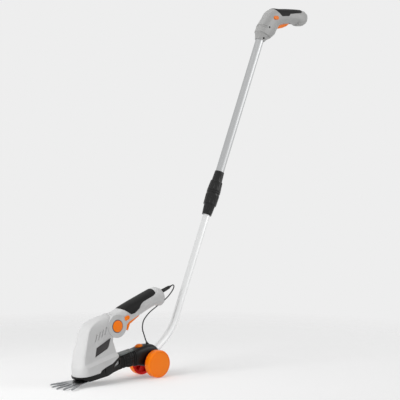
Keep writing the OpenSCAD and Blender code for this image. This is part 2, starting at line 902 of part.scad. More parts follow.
module panel_place() {
    translate([64, -panel_at, 73])
        rotate([panel_lean, 0, 0])
            translate([-64, 0, -73])
                children();
}

module tongue_half(gap) {
    left_rod(hub, tongue_r + gap, -gap, tongue_half_w + gap);
    translate([hub[0] - 44, -tongue_half_w - gap, hub[1] - tongue_half_h - gap])
        cube([44, tongue_half_w + 2 * gap, 2 * (tongue_half_h + gap)]);
}

// Room in the body's roof for the front of the handle while it swings
module swing_room(gap) {
    lip = handle_stations[0][0] - hub;
    crest = handle_stations[1][0] - hub;
    reach = max(norm(lip), norm(crest)) + gap;
    from = atan2(crest[1], crest[0]) - 8;
    to = atan2(lip[1], lip[0]) + handle_swing + stop_gap;
    steps = 8;
    at_side(hub)
        linear_extrude(height = across, center = true)
            polygon(concat([[0, 0]], [for (k = [0 : steps])
                let (a = from + k * (to - from) / steps)
                reach * [cos(a), sin(a)]]));
}

// Lug of the body that sits between the cheeks of the trolley's arm
tail_outline = [[-137, 33], [-111.2, 38], [-111.2, 57], [-121, 62], [-121, 68], [-137, 57]];

module tail_half() {
    front = tail_outline[0][0];
    rear = tail_outline[1][0];
    intersection() {
        side_plate(tail_outline, across);
        linear_extrude(height = across)
            polygon([[front, 0], [front, loose - arm_inner(front)], [rear, loose - arm_inner(rear)], [rear, 0]]);
    }
}

// Screws of the body in the head's frame: place and depth of the side wall there
body_screw_places = [[9, 25, foot_half_w - 4.7], [88, 58, 25.2], [60, 128, 20.4]];

// Hollow of the body, kept off its floor and off the hub's seat
module body_hollow() {
    below = [seam_z - 3, 0, body_stations[0][2] + wall, body_stations[0][3] - wall, foot_half_w - wall,
        body_stations[0][5], body_stations[0][6]];
    inner = [for (k = [1 : len(body_stations) - 2]) body_inner(body_stations[k], wall)];
    difference() {
        in_head()
            skin([for (st = concat([below], inner)) body_ring(st, 5, true)]);
        in_head()
            side_plate(under_floor, across);
        cross_rod(hub, hub_r + seat_gap + wall, across);
        swing_room(seat_gap + wall);
    }
}

module body_half() {
    difference() {
        union() {
            difference() {
                in_head()
                    skin([for (st = body_stations) body_ring(st, 7, false)]);
                in_head()
                    side_plate(under_cut, across);
                body_hollow();
                in_head()
                    for (k = [0 : vent_slots - 1])
                        at_side(vent_from + k * vent_pitch)
                            rotate([0, 0, -vent_lean])
                                translate([-vent_w / 2, -vent_len / 2, 0])
                                    cube([vent_w, vent_len, across / 2]);
                in_head()
                    panel_place()
                        side_plate_left(panel_outline, panel_t, 3);
                cross_rod(hub, hub_r + seat_gap, across);
                swing_room(seat_gap);
            }
            intersection() {
                tongue_half(0);
                translate([hub[0] - 40, -tongue_half_w, 0])
                    cube([across, tongue_half_w, 3 * across]);
            }
            tail_half();
            in_head()
                for (place = body_screw_places)
                    left_rod(place, boss_r, 0, place[2]);
        }
        cross_rod(hub, sleeve_d / 2 + running, across);
        in_head()
            translate([crank_x, 0, 0])
                cylinder(r = crank_boss_r + loose, h = gear_low);
    }
}

// Outline in X and Z on the left face, from a depth below the face to a height above it
module side_plate_left(outline, depth, height) {
    rotate([90, 0, 0])
        translate([0, 0, -depth])
            linear_extrude(height = depth + height)
                polygon(outline);
}

module body_left() {
    color(light_grey)
        difference() {
            body_half();
            in_head()
                pilot_holes(body_screw_places);
        }
}

module body_right() {
    color(light_grey)
        mirrored()
            difference() {
                body_half();
                in_head()
                    head_holes(body_screw_places);
            }
}

module side_panel_solid() {
    middle = [64, 73];
    in_head()
        panel_place()
            side_plate_left([for (q = panel_outline) middle + (q - middle) * panel_fit], panel_t, 0);
}

module side_panels() {
    color(hard_black) {
        side_panel_solid();
        mirrored()
            side_panel_solid();
    }
}

function foot_plan(grow) =
    let (plan = [0, 0, -9 - grow, 76, foot_half_w + grow, body_stations[0][5] + 2, body_stations[0][6]])
    [for (q = body_ring(plan, 8, true)) [q[0], q[1]]];

foot_side = [
    [-12, 9.5], [-12, seam_z], [46.5, seam_z], [51, 19.6], [foot_rear, 22.6], [foot_rear, foot_low], [12, foot_low],
    [6, 5.5], [-2, 9.5]
];
foot_post_places = [[18, 24], [40, 24]];
blade_screw_places = [[36, 20], [36, -20]];

module foot() {
    color(hard_black)
        in_head()
            difference() {
                union() {
                    difference() {
                        intersection() {
                            linear_extrude(height = 40)
                                polygon(foot_plan(0));
                            side_plate(foot_side, across);
                        }
                        translate([-40, -27, -5])
                            cube([97, 54, 5 + pocket_z]);
                    }
                    translate([crank_x, 0, pocket_z])
                        cylinder(r = crank_boss_r, h = gear_low - 0.2 - pocket_z);
                    for (place = blade_screw_places)
                        translate([place[0], place[1], blade_base_z + blade_t])
                            cylinder(r = 4, h = seam_z - blade_t - blade_base_z);
                    for (place = foot_post_places)
                        for (side = [-1, 1])
                            translate([place[0], side * place[1], seam_z - 1])
                                cylinder(r = 3.5, h = plate_low - seam_z + 1);
                }
                translate([crank_x, 0, -1])
                    cylinder(r = crank_hub_r + running, h = 60);
                translate([pivot_x, 0, -1])
                    cylinder(r = blade_pin_d / 2 + 0.02, h = 12);
                for (place = blade_screw_places)
                    translate([place[0], place[1], -1])
                        cylinder(r = 1.65, h = 12);
            }
}

// One tooth from its root to its tip, pointing along -X from the pivot
module tooth_2d(root_r, end_r, root_half, tip_half) {
    polygon([
        [-root_r + 6, root_half], [-root_r, root_half], [-end_r + 2, tip_half + 0.4], [-end_r, tip_half * 0.4],
        [-end_r, -tip_half * 0.4], [-end_r + 2, -tip_half - 0.4], [-root_r, -root_half], [-root_r + 6, -root_half]
    ]);
}

module fan_2d(root_r, end_r, root_half, tip_half) {
    for (k = [0 : teeth - 1])
        rotate([0, 0, (k - (teeth - 1) / 2) * tooth_step])
            tooth_2d(root_r, end_r, root_half, tip_half);
}

module blade_plate_2d(fan, rear, rear_half) {
    half_fan = tooth_step * (teeth - 1) / 2 + 5.2;
    polygon(concat(
        [for (a = [-half_fan : half_fan / 5 : half_fan + 0.01]) [-fan * cos(a), -fan * sin(a)]],
        [[-12, -rear_half], [rear, -rear_half], [rear, rear_half], [-12, rear_half]]
    ));
}

module fixed_blade() {
    root_r = 50;
    color(dark_metal)
        in_head()
            difference() {
                translate([pivot_x, 0, blade_base_z])
                    linear_extrude(height = blade_t)
                        difference() {
                            union() {
                                fan_2d(root_r, tip_r, 5.6, 1.8);
                                blade_plate_2d(root_r, 19, 25.5);
                            }
                            circle(r = blade_pin_d / 2 + 0.02);
                        }
                for (place = blade_screw_places)
                    translate([place[0], place[1], -1])
                        cylinder(r = 1.8, h = 5);
            }
}

module moving_blade() {
    root_r = 47;
    window = [crank + crank_pin_r + 0.8, crank + crank_pin_r + 21 * sin(blade_swing) + 0.5];
    tail_x = crank_x - pivot_x;
    color(bare_metal)
        in_head()
            translate([pivot_x, 0, moving_z])
                linear_extrude(height = blade_t)
                    difference() {
                        union() {
                            fan_2d(root_r, tip_r - 3, 4.8, 1.4);
                            blade_plate_2d(root_r, 6, 13);
                            translate([-4, -window[1] - 3])
                                square([tail_x + window[0] + 8, 2 * window[1] + 6]);
                        }
                        circle(r = blade_pin_d / 2 + running);
                        translate([tail_x - window[0], -window[1]])
                            square([2 * window[0], 2 * window[1]]);
                    }
}

module blade_pivot() {
    color(bare_metal)
        in_head()
            translate([pivot_x, 0, blade_base_z - 1.5]) {
                cylinder(r = blade_pin_d / 2 + 2.5, h = 1.5);
                cylinder(r = blade_pin_d / 2, h = 11);
            }
}

module blade_screws() {
    color(bare_metal)
        in_head()
            for (place = blade_screw_places)
                translate([place[0], place[1], blade_base_z - 1.5]) {
                    cylinder(r = 3.4, h = 1.5);
                    cylinder(r = 1.6, h = 10);
                }
}

// Spur gear outline with narrow teeth that leave backlash
module gear_2d(count, phase) {
    r = gear_module * count / 2;
    step = 360 / count;
    polygon([for (k = [0 : count - 1]) each
        [for (q = [[-0.34, -1.1], [-0.12, 0.75], [0.12, 0.75], [0.34, -1.1]])
            let (a = (k + q[0] + phase) * step, m = r + q[1] * gear_module) [m * cos(a), m * sin(a)]]]);
}

module crank_gear() {
    color(dark_metal)
        in_head()
            translate([crank_x, 0, 0]) {
                translate([0, 0, gear_low])
                    linear_extrude(height = gear_t)
                        gear_2d(gear_teeth, 0);
                translate([0, 0, pocket_z + loose])
                    cylinder(r = crank_hub_r, h = gear_low - pocket_z);
                translate([crank, 0, moving_z + 0.1])
                    cylinder(r = crank_pin_r, h = 8);
                translate([0, 0, gear_low + gear_t - 1])
                    cylinder(r = 3, h = plate_low + plate_t - gear_low - gear_t + 1);
            }
}

module motor_pinion() {
    color(bare_metal)
        in_head()
            translate([motor_x, 0, gear_low - 0.5])
                linear_extrude(height = gear_t + 1)
                    difference() {
                        gear_2d(pinion_teeth, 0.5 - (pinion_teeth % 2) / 2);
                        circle(r = 1.5 + 0.02);
                    }
}

module gear_plate() {
    color(hard_black)
        in_head()
            difference() {
                translate([plate_from, -plate_half_w, plate_low])
                    cube([plate_len, 2 * plate_half_w, plate_t]);
                translate([crank_x, 0, plate_low - 1])
                    cylinder(r = 3 + running, h = plate_t + 2);
                translate([motor_x, 0, plate_low - 1])
                    cylinder(r = 5, h = plate_t + 2);
            }
}

module motor() {
    color(dark_metal)
        in_head()
            translate([motor_x, 0, plate_low + plate_t]) {
                cylinder(r = motor_d / 2, h = motor_len);
                translate([0, 0, motor_len])
                    cylinder(r = 5, h = 3);
                translate([0, 0, -plate_t - gear_t - 1.5])
                    cylinder(r = 1.5, h = 12);
            }
}

module body_screws() {
    in_head()
        screws(body_screw_places);
}

// Tool handle

// Room that the body's tongue needs in the hub while the handle swings
tongue_angle = asin(tongue_half_h / (hub_r - 3));
tongue_from = 180 - tongue_angle - handle_swing - stop_gap;
tongue_to = 180 + tongue_angle + stop_gap;
handle_screw_places = [[-98, 172], [20, 189.5]];

module handle_shell() {
    count = len(handle_stations);
    difference() {
        union() {
            difference() {
                union() {
                    skin(handle_rings(handle_stations, 0, 10, false, 0, count - 1));
                    left_rod(hub, hub_r, 0, hub_half_w);
                }
                skin(handle_rings(handle_stations, -wall, 8, true, 3, count - 2));
                left_rod(hub, hub_r - 3, -1, tongue_half_w + 0.5);
                at_side(hub)
                    translate([0, 0, -1])
                        linear_extrude(height = tongue_half_w + 1.5)
                            polygon(concat([[0, 0]], [for (k = [0 : 2])
                                let (a = tongue_from + k * (tongue_to - tongue_from) / 2)
                                1.5 * hub_r * [cos(a), sin(a)]]));
                difference() {
                    side_plate(handle_grip_outline, across);
                    skin(handle_rings(handle_stations, -grip_depth, 8, true, 0, count - 1));
                    cross_rod(hub, hub_r - grip_depth, across);
                }
            }
            intersection() {
                union() {
                    left_rod(tool_trigger_hinge, boss_r, trigger_w / 2 + loose, across);
                    left_rod(tool_switch_at, 3, switch_size[1] / 2 + 0.1, across);
                    left_rod(handle_screw_places[1], boss_r, 0, across);
                }
                skin(handle_rings(handle_stations, -post_inset, 8, true, 0, count - 1));
            }
        }
        side_plate(tool_trigger_slot, trigger_w + 2 * loose);
        cross_rod(tool_trigger_hinge, trigger_pin_d / 2 + running, 2 * (trigger_w / 2 + 4));
        lock_off_shape(tool_lock_at, handle_rise, loose, 60);
    }
}

module handle_bores_left() {
    left_rod(hub, sleeve_d / 2 + 0.02, -1, 17);
    left_rod(hub, hub_button_d / 2 + loose, recess_floor, 40);
}

module socket_hole() {
    translate([plug_at[0], 0, plug_at[1]])
        rotate([0, 90 - handle_rise, 0])
            translate([0, 0, -socket_len - 0.2])
                cylinder(r = plug_d / 2 + running, h = socket_len + 20);
}

module handle_left() {
    color(light_grey)
        difference() {
            handle_shell();
            handle_bores_left();
            socket_hole();
            pilot_holes(handle_screw_places);
        }
}

module handle_right() {
    color(light_grey)
        mirrored()
            difference() {
                handle_shell();
                left_rod(hub, sleeve_d / 2 + 0.02, -1, 20.2);
                socket_hole();
                head_holes(handle_screw_places);
            }
}

module handle_screws() { screws(handle_screw_places); }

module handle_grip() {
    count = len(handle_stations);
    color(soft_black)
        difference() {
            intersection() {
                grip_plate(handle_grip_outline);
                skin(handle_rings(handle_stations, grip_proud, 10, true, 0, count - 1));
            }
            skin(handle_rings(handle_stations, grip_gap - grip_depth, 8, true, 0, count - 1));
            cross_rod(hub, hub_r + grip_gap, across);
        }
}

module pivot_sleeve() {
    color(bare_metal)
        difference() {
            translate([0, 1.5, 0])
                cross_rod(hub, sleeve_d / 2, 33);
            left_rod(hub, sleeve_d / 2 - 2, -15, 20);
        }
}

module hub_button() {
    dome_r = 60;
    color(bright_orange)
        union() {
            intersection() {
                left_rod(hub, hub_button_d / 2, hub_button_back, 40);
                translate([hub[0], dome_r - hub_half_w - 3.2, hub[1]])
                    sphere(r = dome_r);
            }
            left_rod(hub, sleeve_d / 2 - 2 - running, 2, hub_button_back + 1);
        }
}

module hub_spring() {
    color(bare_metal)
        translate([hub[0], -1.9, hub[1]])
            rotate([-90, 0, 0])
                coil_spring(4.4, 1.2, 16.6, 5);
}

module lock_off_shape(place, lean, gap, w) {
    end_steps = 12;
    r = lock_h / 2 + gap;
    run = (lock_len - lock_h) / 2;
    at_side(place)
        rotate([0, 0, lean])
            linear_extrude(height = w, center = true)
                polygon([for (side = [1, -1]) for (k = [0 : end_steps])
                    let (a = 180 * k / end_steps - 90 * side)
                    [side * run + r * cos(a), r * sin(a)]]);
}

module trigger_solid(outline, hinge) {
    side_plate(outline, trigger_w);
    cross_rod(hinge, trigger_pin_d / 2, 2 * (trigger_w / 2 + 3.6));
}

module tool_trigger() { color(bright_orange) trigger_solid(tool_trigger_outline, tool_trigger_hinge); }

module tool_lock_off() {
    color(bright_orange)
        lock_off_shape(tool_lock_at, handle_rise, 0, 2 * (handle_stations[3][2] + lock_proud));
}

module switch_solid(place, lean) {
    translate([place[0], 0, place[1]])
        rotate([0, -lean, 0])
            cube(switch_size, center = true);
}

module tool_switch() { color(hard_black) switch_solid(tool_switch_at, handle_rise); }

module battery_cells() {
    color(dark_metal)
        translate([cell_at[0], 0, cell_at[1]])
            rotate([0, 90 - handle_rise, 0])
                for (side = [-1, 1])
                    translate([0, side * (cell_d / 2 + 0.2), -cell_len / 2])
                        cylinder(r = cell_d / 2, h = cell_len);
}

module at_plug() {
    translate([plug_at[0], 0, plug_at[1]])
        rotate([0, 90 - handle_rise, 0])
            children();
}

module charge_socket() {
    color(hard_black)
        at_plug()
            difference() {
                translate([0, 0, -socket_len])
                    cylinder(r = plug_d / 2, h = socket_len);
                translate([0, 0, -socket_len + 2])
                    cylinder(r = jack_d / 2 + running, h = socket_len);
            }
}

module cord_plug() {
    color(hard_black)
        at_plug()
            union() {
                translate([0, 0, -socket_len + 3])
                    cylinder(r = jack_d / 2, h = socket_len);
                translate([0, 0, 0.1])
                    cylinder(r = plug_d / 2, h = plug_len);
                translate([0, 0, plug_len])
                    cylinder(r1 = plug_d / 2 - 1, r2 = cord_d / 2 + 0.8, h = relief_len);
            }
}

module cord() {
    color(soft_black)
        wire(smooth_route(cord_route, cord_steps), cord_d, cord_sides);
}

module cord_gland() {
    color(hard_black)
        translate([gland_at[0], 0, gland_at[1]])
            rotate([0, gland_lean, 0])
                union() {
                    translate([0, 0, -7.9])
                        cylinder(r = gland_r, h = 9);
                    cylinder(r1 = gland_r + 0.6, r2 = cord_d / 2 + 0.8, h = gland_rise);
                }
}

// Upper handle

upper_screw_places = [[6.5, 4.3], -tube_screw_depth * pole_dir];
tube_seat = 60;

module at_upper() {
    translate([upper_at[0], 0, upper_at[1]])
        children();
}

module in_seat() {
    rotate([0, pole_lean, 0])
        translate([0, 0, -tube_seat])
            children();
}

module upper_shell() {
    count = len(upper_stations);
    difference() {
        union() {
            difference() {
                skin(handle_rings(upper_stations, 0, 10, false, 0, count - 1));
                difference() {
                    skin(handle_rings(upper_stations, -wall, 8, true, 4, count - 2));
                    in_seat()
                        cylinder(r = outer_tube_d / 2 + wall, h = tube_seat + wall);
                    for (place = upper_screw_places)
                        cross_rod(place, boss_r, across);
                }
                difference() {
                    side_plate(upper_grip_outline, across);
                    skin(handle_rings(upper_stations, -grip_depth, 8, true, 0, count - 1));
                }
            }
            intersection() {
                union() {
                    left_rod(upper_trigger_hinge, boss_r, trigger_w / 2 + loose, across);
                    left_rod(upper_switch_at, 3, switch_size[1] / 2 + 0.1, across);
                }
                skin(handle_rings(upper_stations, -post_inset, 8, true, 0, count - 1));
            }
        }
        in_seat()
            cylinder(r = outer_tube_d / 2 + 0.02, h = tube_seat + 0.2);
        side_plate(upper_trigger_slot, trigger_w + 2 * loose);
        cross_rod(upper_trigger_hinge, trigger_pin_d / 2 + running, 2 * (trigger_w / 2 + 4));
        lock_off_shape(upper_lock_at, upper_lock_lean, loose, across);
    }
}

module upper_handle_left() {
    color(light_grey)
        at_upper()
            difference() {
                upper_shell();
                head_holes(upper_screw_places);
            }
}

module upper_handle_right() {
    color(light_grey)
        at_upper()
            mirrored()
                difference() {
                    upper_shell();
                    pilot_holes(upper_screw_places);
                }
}

module upper_grip() {
    count = len(upper_stations);
    color(soft_black)
        at_upper()
            difference() {
                intersection() {
                    grip_plate(upper_grip_outline);
                    skin(handle_rings(upper_stations, grip_proud, 10, true, 0, count - 1));
                }
                skin(handle_rings(upper_stations, grip_gap - grip_depth, 8, true, 0, count - 1));
            }
}

module upper_trigger() {
    color(bright_orange)
        at_upper()
            trigger_solid(upper_trigger_outline, upper_trigger_hinge);
}

module upper_lock_off() {
    color(bright_orange)
        at_upper()
            lock_off_shape(upper_lock_at, upper_lock_lean, 0, 2 * (upper_stations[7][2] + lock_proud));
}

module upper_switch() {
    color(hard_black)
        at_upper()
            switch_solid(upper_switch_at, upper_lock_lean);
}

module upper_screws() {
    at_upper()
        mirrored()
            screws(upper_screw_places);
}

trolley_left();
trolley_right();
trolley_arm();
latch_plate();
release_button();
release_spring();
axle();
axle_clips();
wheel_left();
wheel_right();
wheel_cap_left();
wheel_cap_right();
lower_tube();
tube_bush();
upper_tube();
clamp_collet();
clamp_nut();
clamp_sleeve();
body_left();
body_right();
side_panels();
foot();
fixed_blade();
moving_blade();
blade_pivot();
blade_screws();
crank_gear();
motor_pinion();
gear_plate();
motor();
body_screws();
handle_left();
handle_right();
handle_grip();
pivot_sleeve();
hub_button();
hub_spring();
tool_trigger();
tool_lock_off();
tool_switch();
battery_cells();
charge_socket();
cord_plug();
cord();
cord_gland();
upper_handle_left();
upper_handle_right();
upper_grip();
upper_trigger();
upper_lock_off();
upper_switch();
upper_screws();
trolley_screws();
handle_screws();
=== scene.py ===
# %% [markdown]
# # Cordless grass shears on a wheeled pole
# The tool is a hand-held grass cutter. It is clipped on a small trolley with two wheels, so that the
# lawn's edge can be cut while standing. A telescopic pole carries a second handle, and a short cord joins
# the pole's switch to the tool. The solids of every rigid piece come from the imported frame. This lesson
# lays the cord, adds thin trims, gives every piece its finish, softens the edges as moulding and stamping
# do, and sets up a small studio.

# %% Load the frame
import math

import bpy
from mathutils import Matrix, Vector


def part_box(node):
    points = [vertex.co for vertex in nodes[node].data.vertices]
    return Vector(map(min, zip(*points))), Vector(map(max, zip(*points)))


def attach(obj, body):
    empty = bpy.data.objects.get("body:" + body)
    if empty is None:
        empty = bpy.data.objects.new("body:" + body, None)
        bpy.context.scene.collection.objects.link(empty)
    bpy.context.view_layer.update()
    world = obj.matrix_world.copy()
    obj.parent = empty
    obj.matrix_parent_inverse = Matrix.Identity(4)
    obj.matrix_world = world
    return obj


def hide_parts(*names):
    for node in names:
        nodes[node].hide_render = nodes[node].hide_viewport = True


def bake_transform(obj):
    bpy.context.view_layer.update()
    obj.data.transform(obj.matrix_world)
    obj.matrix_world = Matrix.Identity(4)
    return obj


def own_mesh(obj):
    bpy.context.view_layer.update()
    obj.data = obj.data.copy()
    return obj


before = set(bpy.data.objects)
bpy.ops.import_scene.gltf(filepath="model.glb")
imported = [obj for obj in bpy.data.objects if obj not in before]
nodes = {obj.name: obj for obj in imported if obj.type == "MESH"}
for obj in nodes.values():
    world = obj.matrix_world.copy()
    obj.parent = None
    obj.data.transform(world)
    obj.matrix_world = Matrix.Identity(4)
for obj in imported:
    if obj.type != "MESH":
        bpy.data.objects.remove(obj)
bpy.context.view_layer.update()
ROOT = "trolley_and_tool"
MM = 0.001
print("pieces in the frame:", len(nodes))

# %% [markdown]
# ## The camera
# The photograph was taken from the front left, almost level, with a long lens. The place and the lens were
# worked out from the wheels, the pole and the blade tips, so the render can be laid over the photograph.

# %% Camera at the photograph's place
SENSOR_MM = 36.0
LENS_MM = 99.0
CAMERA_PLACE = (-1.797, -2.1917, 0.4881)
CAMERA_DOWN_DEG = 0.71
CAMERA_TURN_DEG = -42
camera_data = bpy.data.cameras.new("studio_camera")
camera_data.sensor_width = SENSOR_MM
camera_data.lens = LENS_MM
camera = bpy.data.objects.new("studio_camera", camera_data)
camera.location = CAMERA_PLACE
camera.rotation_euler = (math.radians(90 - CAMERA_DOWN_DEG), 0.0, math.radians(CAMERA_TURN_DEG))
bpy.context.scene.collection.objects.link(camera)
bpy.context.scene.camera = camera
print("camera at", tuple(camera.location))

# %% [markdown]
# ## The connecting cord
# A thin round PVC cord leaves a rubber gland on the trolley, rises in a lazy curve, swings out to the right
# of the handle and comes back into it with a small plug. A curve object could draw it; here it is a tube of
# rings along the same route as the solid.

# %% Directions in the object's middle plane
ACROSS = Vector((0, 1, 0))


def rising(degrees):
    """A direction in the middle plane, by its rise above the level."""
    angle = math.radians(degrees)
    return Vector((math.cos(angle), 0, math.sin(angle)))


HANDLE_RISE = 20.8
GLAND_RISE = 116
PLUG_AXIS = rising(HANDLE_RISE)
GLAND_AXIS = rising(GLAND_RISE)
print("the plug points along", tuple(round(v, 3) for v in PLUG_AXIS))

# %% Route of the cord
CORD_D = 3.2 * MM
GLAND = Vector((-6, 0, 82)) * MM
PLUG = Vector((37.1, 0, 213.1)) * MM
# The first and last points lie on the axes of the gland and the plug, so many millimetres out.
GLAND_REACHES = (6, 10, 14)
PLUG_REACHES = (36, 32, 28)
CORD_STEPS = 6
cord_hand_points = [
    (-16, 1, 107), (-19, 3, 119), (-18, 5, 130), (-12, 8, 142), (0, 12, 152), (17, 17, 162),
    (38, 22, 171), (52, 25, 177), (65, 26, 183), (76, 26, 190), (85, 25, 197), (92, 21, 207),
    (94.5, 15, 217), (91, 8, 225.5), (82, 2.5, 229),
]
cord_points = [GLAND + GLAND_AXIS * reach * MM for reach in GLAND_REACHES]
cord_points += [Vector(point) * MM for point in cord_hand_points]
cord_points += [PLUG + PLUG_AXIS * reach * MM for reach in PLUG_REACHES]


def smooth_path(points, steps):
    """Points on a smooth curve through the given points."""
    path = []
    last = len(points) - 1
    for i in range(last):
        a, b, c, d = points[max(0, i - 1)], points[i], points[i + 1], points[min(last, i + 2)]
        for k in range(steps):
            t = k / steps
            path.append(0.5 * (2 * b + (c - a) * t + (2 * a - 5 * b + 4 * c - d) * t ** 2
                               + (3 * b - a - 3 * c + d) * t ** 3))
    path.append(points[last])
    return path


cord_path = smooth_path(cord_points, CORD_STEPS)


# %% Tube of rings along a path
def link_mesh(name, vertices, faces):
    """A new mesh object with smooth faces."""
    mesh = bpy.data.meshes.new(name)
    mesh.from_pydata(vertices, [], faces)
    mesh.polygons.foreach_set("use_smooth", [True] * len(mesh.polygons))
    piece = bpy.data.objects.new(name, mesh)
    bpy.context.scene.collection.objects.link(piece)
    return piece


def tube(name, path, diameters, sides, side=ACROSS, closed=False):
    """Rings of points along a path, joined to a tube with flat ends or to a closed ring.

    The side is a direction square to the start of the path. Each point has its own diameter.
    """
    vertices = []
    faces = []
    count = len(path)
    for i, point in enumerate(path):
        behind = path[i - 1] if closed or i > 0 else point
        ahead = path[(i + 1) % count] if closed or i < count - 1 else point
        along = (ahead - behind).normalized()
        side = (side - along * side.dot(along)).normalized()
        top = along.cross(side)
        for k in range(sides):
            angle = 2 * math.pi * k / sides
            vertices.append(point + (side * math.cos(angle) + top * math.sin(angle)) * diameters[i] / 2)
    for i in range(count if closed else count - 1):
        ring = i * sides
        next_ring = (i + 1) % count * sides
        for k in range(sides):
            after = (k + 1) % sides
            faces.append((ring + k, ring + after, next_ring + after, next_ring + k))
    if not closed:
        faces.append(tuple(reversed(range(sides))))
        faces.append(tuple(range((count - 1) * sides, count * sides)))
    return link_mesh(name, vertices, faces)


print("helpers for round pieces ready")

# %% Cord along its route
CORD_SIDES = 12
cord = tube("connecting_cord", cord_path, [CORD_D] * len(cord_path), CORD_SIDES)
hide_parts("cord")
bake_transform(cord)
print("cord rings:", len(cord_path))

# %% [markdown]
# ## Boot of the plug
# A soft boot is moulded over the plug and the cord's end, with three grooves that let it bend. It is round,
# so its half profile is turned about the plug's axis. A screw modifier could turn it, but the tube function
# already makes rings along a path, and here each ring has its own diameter.

# %% Boot turned about the plug's axis
# All in millimetres: places along the plug's axis, radii, and the sizes of the step and the grooves.
BOOT_START, BOOT_STOP, BOOT_TAIL = 0.4, 32, 39
BOOT_START_R, BOOT_STOP_R, BOOT_TAIL_R = 5.6, 4.3, 2.2
BOOT_STEP_W, BOOT_STEP_R = 1, 0.8
GROOVE_COUNT, GROOVE_FIRST, GROOVE_STEP = 3, 20, 3.6
GROOVE_W, GROOVE_SLOPE, GROOVE_DEPTH = 2, 0.5, 0.8
BOOT_SIDES = 24


def boot_radius(reach):
    """Radius of the tapered boot at a distance along the plug's axis, in millimetres."""
    share = (reach - BOOT_START) / (BOOT_STOP - BOOT_START)
    return BOOT_START_R + (BOOT_STOP_R - BOOT_START_R) * share


boot_profile = [(BOOT_START, BOOT_START_R)]
for number in range(GROOVE_COUNT):
    groove = GROOVE_FIRST + number * GROOVE_STEP
    groove_r = boot_radius(groove) - GROOVE_DEPTH
    boot_profile.append((groove, boot_radius(groove)))
    boot_profile.append((groove + GROOVE_SLOPE, groove_r))
    boot_profile.append((groove + GROOVE_W - GROOVE_SLOPE, groove_r))
    boot_profile.append((groove + GROOVE_W, boot_radius(groove + GROOVE_W)))
boot_profile.append((BOOT_STOP, BOOT_STOP_R))
boot_profile.append((BOOT_STOP + BOOT_STEP_W, BOOT_TAIL_R + BOOT_STEP_R))
boot_profile.append((BOOT_TAIL, BOOT_TAIL_R))
boot_path = [PLUG + PLUG_AXIS * reach * MM for reach, radius in boot_profile]
boot_diameters = [2 * radius * MM for reach, radius in boot_profile]
plug_boot = tube("plug_boot", boot_path, boot_diameters, BOOT_SIDES)
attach(plug_boot, "handle_body")
print("rings in the boot:", len(boot_profile))

# %% [markdown]
# ## Two thin trims
# A rubber ring seals the gap round the lock button in the handle's hub; its dark grey is painted shade, for
# the shadow in that gap. A fine screen in the air slots keeps grass out of the motor. Both are too thin to
# be solids of their own. A torus could be the ring, but the tube function makes it too, along a circle. The
# screen is a sheet with rounded corners, sunk in each side wall of the body, a little below the mouths of
# the slots. A plane with a solidify modifier could be the screen, but the wall leans, and plain points
# follow it.

# %% Seal round the lock button
HUB = Vector((-121, 0, 140)) * MM
HUB_HALF_W = 24 * MM
SEAL_R = 15.6 * MM
SEAL_D = 1.8 * MM
SEAL_STEPS = 72
SEAL_SIDES = 12
seal_angles = [360 * k / SEAL_STEPS for k in range(SEAL_STEPS)]
seal_path = [HUB - ACROSS * HUB_HALF_W + rising(degrees) * SEAL_R for degrees in seal_angles]
# The ring's dark grey is painted shade: it stands for the shadow in the gap round the button.
seal_and_shade_ring = tube("seal_and_shade_ring", seal_path, [SEAL_D] * SEAL_STEPS, SEAL_SIDES, closed=True)
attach(seal_and_shade_ring, "handle_body")
print("seal across in mm:", round(2 * SEAL_R / MM, 1))

# %% Outline of a screen, in the tilted head of the tool
HEAD_RISE = 8.5
HEAD_X = -224
GROUND_REACH = 65
HEAD = Vector((HEAD_X, 0, GROUND_REACH * math.sin(math.radians(HEAD_RISE)))) * MM
# Two corners of a screen in the head, and the other sizes of it, in millimetres.
SCREEN_LOW, SCREEN_HIGH = (44, 88), (88, 120)
SCREEN_LOW_DEPTH, SCREEN_HIGH_DEPTH = 23.5, 21.5
SCREEN_T = 0.6
SCREEN_CORNER_R = 5
CORNER_STEPS = 6


def in_head(x, y, z):
    """A place in the tilted head of the tool, in millimetres, as a place in the part's own space."""
    return HEAD + (rising(HEAD_RISE) * x + ACROSS * y + rising(HEAD_RISE + 90) * z) * MM


def round_corners(low, high, radius, steps):
    """Outline of a rectangle with rounded corners."""
    outline = []
    corners = [(high[0], high[1], 0), (low[0], high[1], 90), (low[0], low[1], 180), (high[0], low[1], 270)]
    for x, z, start in corners:
        middle_x = x - radius if x == high[0] else x + radius
        middle_z = z - radius if z == high[1] else z + radius
        for k in range(steps + 1):
            angle = math.radians(start + 90 * k / steps)
            outline.append((middle_x + radius * math.cos(angle), middle_z + radius * math.sin(angle)))
    return outline


def screen_depth(z):
    """How far the screen lies from the middle plane, in the leaning wall."""
    share = (z - SCREEN_LOW[1]) / (SCREEN_HIGH[1] - SCREEN_LOW[1])
    return SCREEN_LOW_DEPTH + (SCREEN_HIGH_DEPTH - SCREEN_LOW_DEPTH) * share


screen_outline = round_corners(SCREEN_LOW, SCREEN_HIGH, SCREEN_CORNER_R, CORNER_STEPS)
outline_count = len(screen_outline)
print("points in the outline:", outline_count)

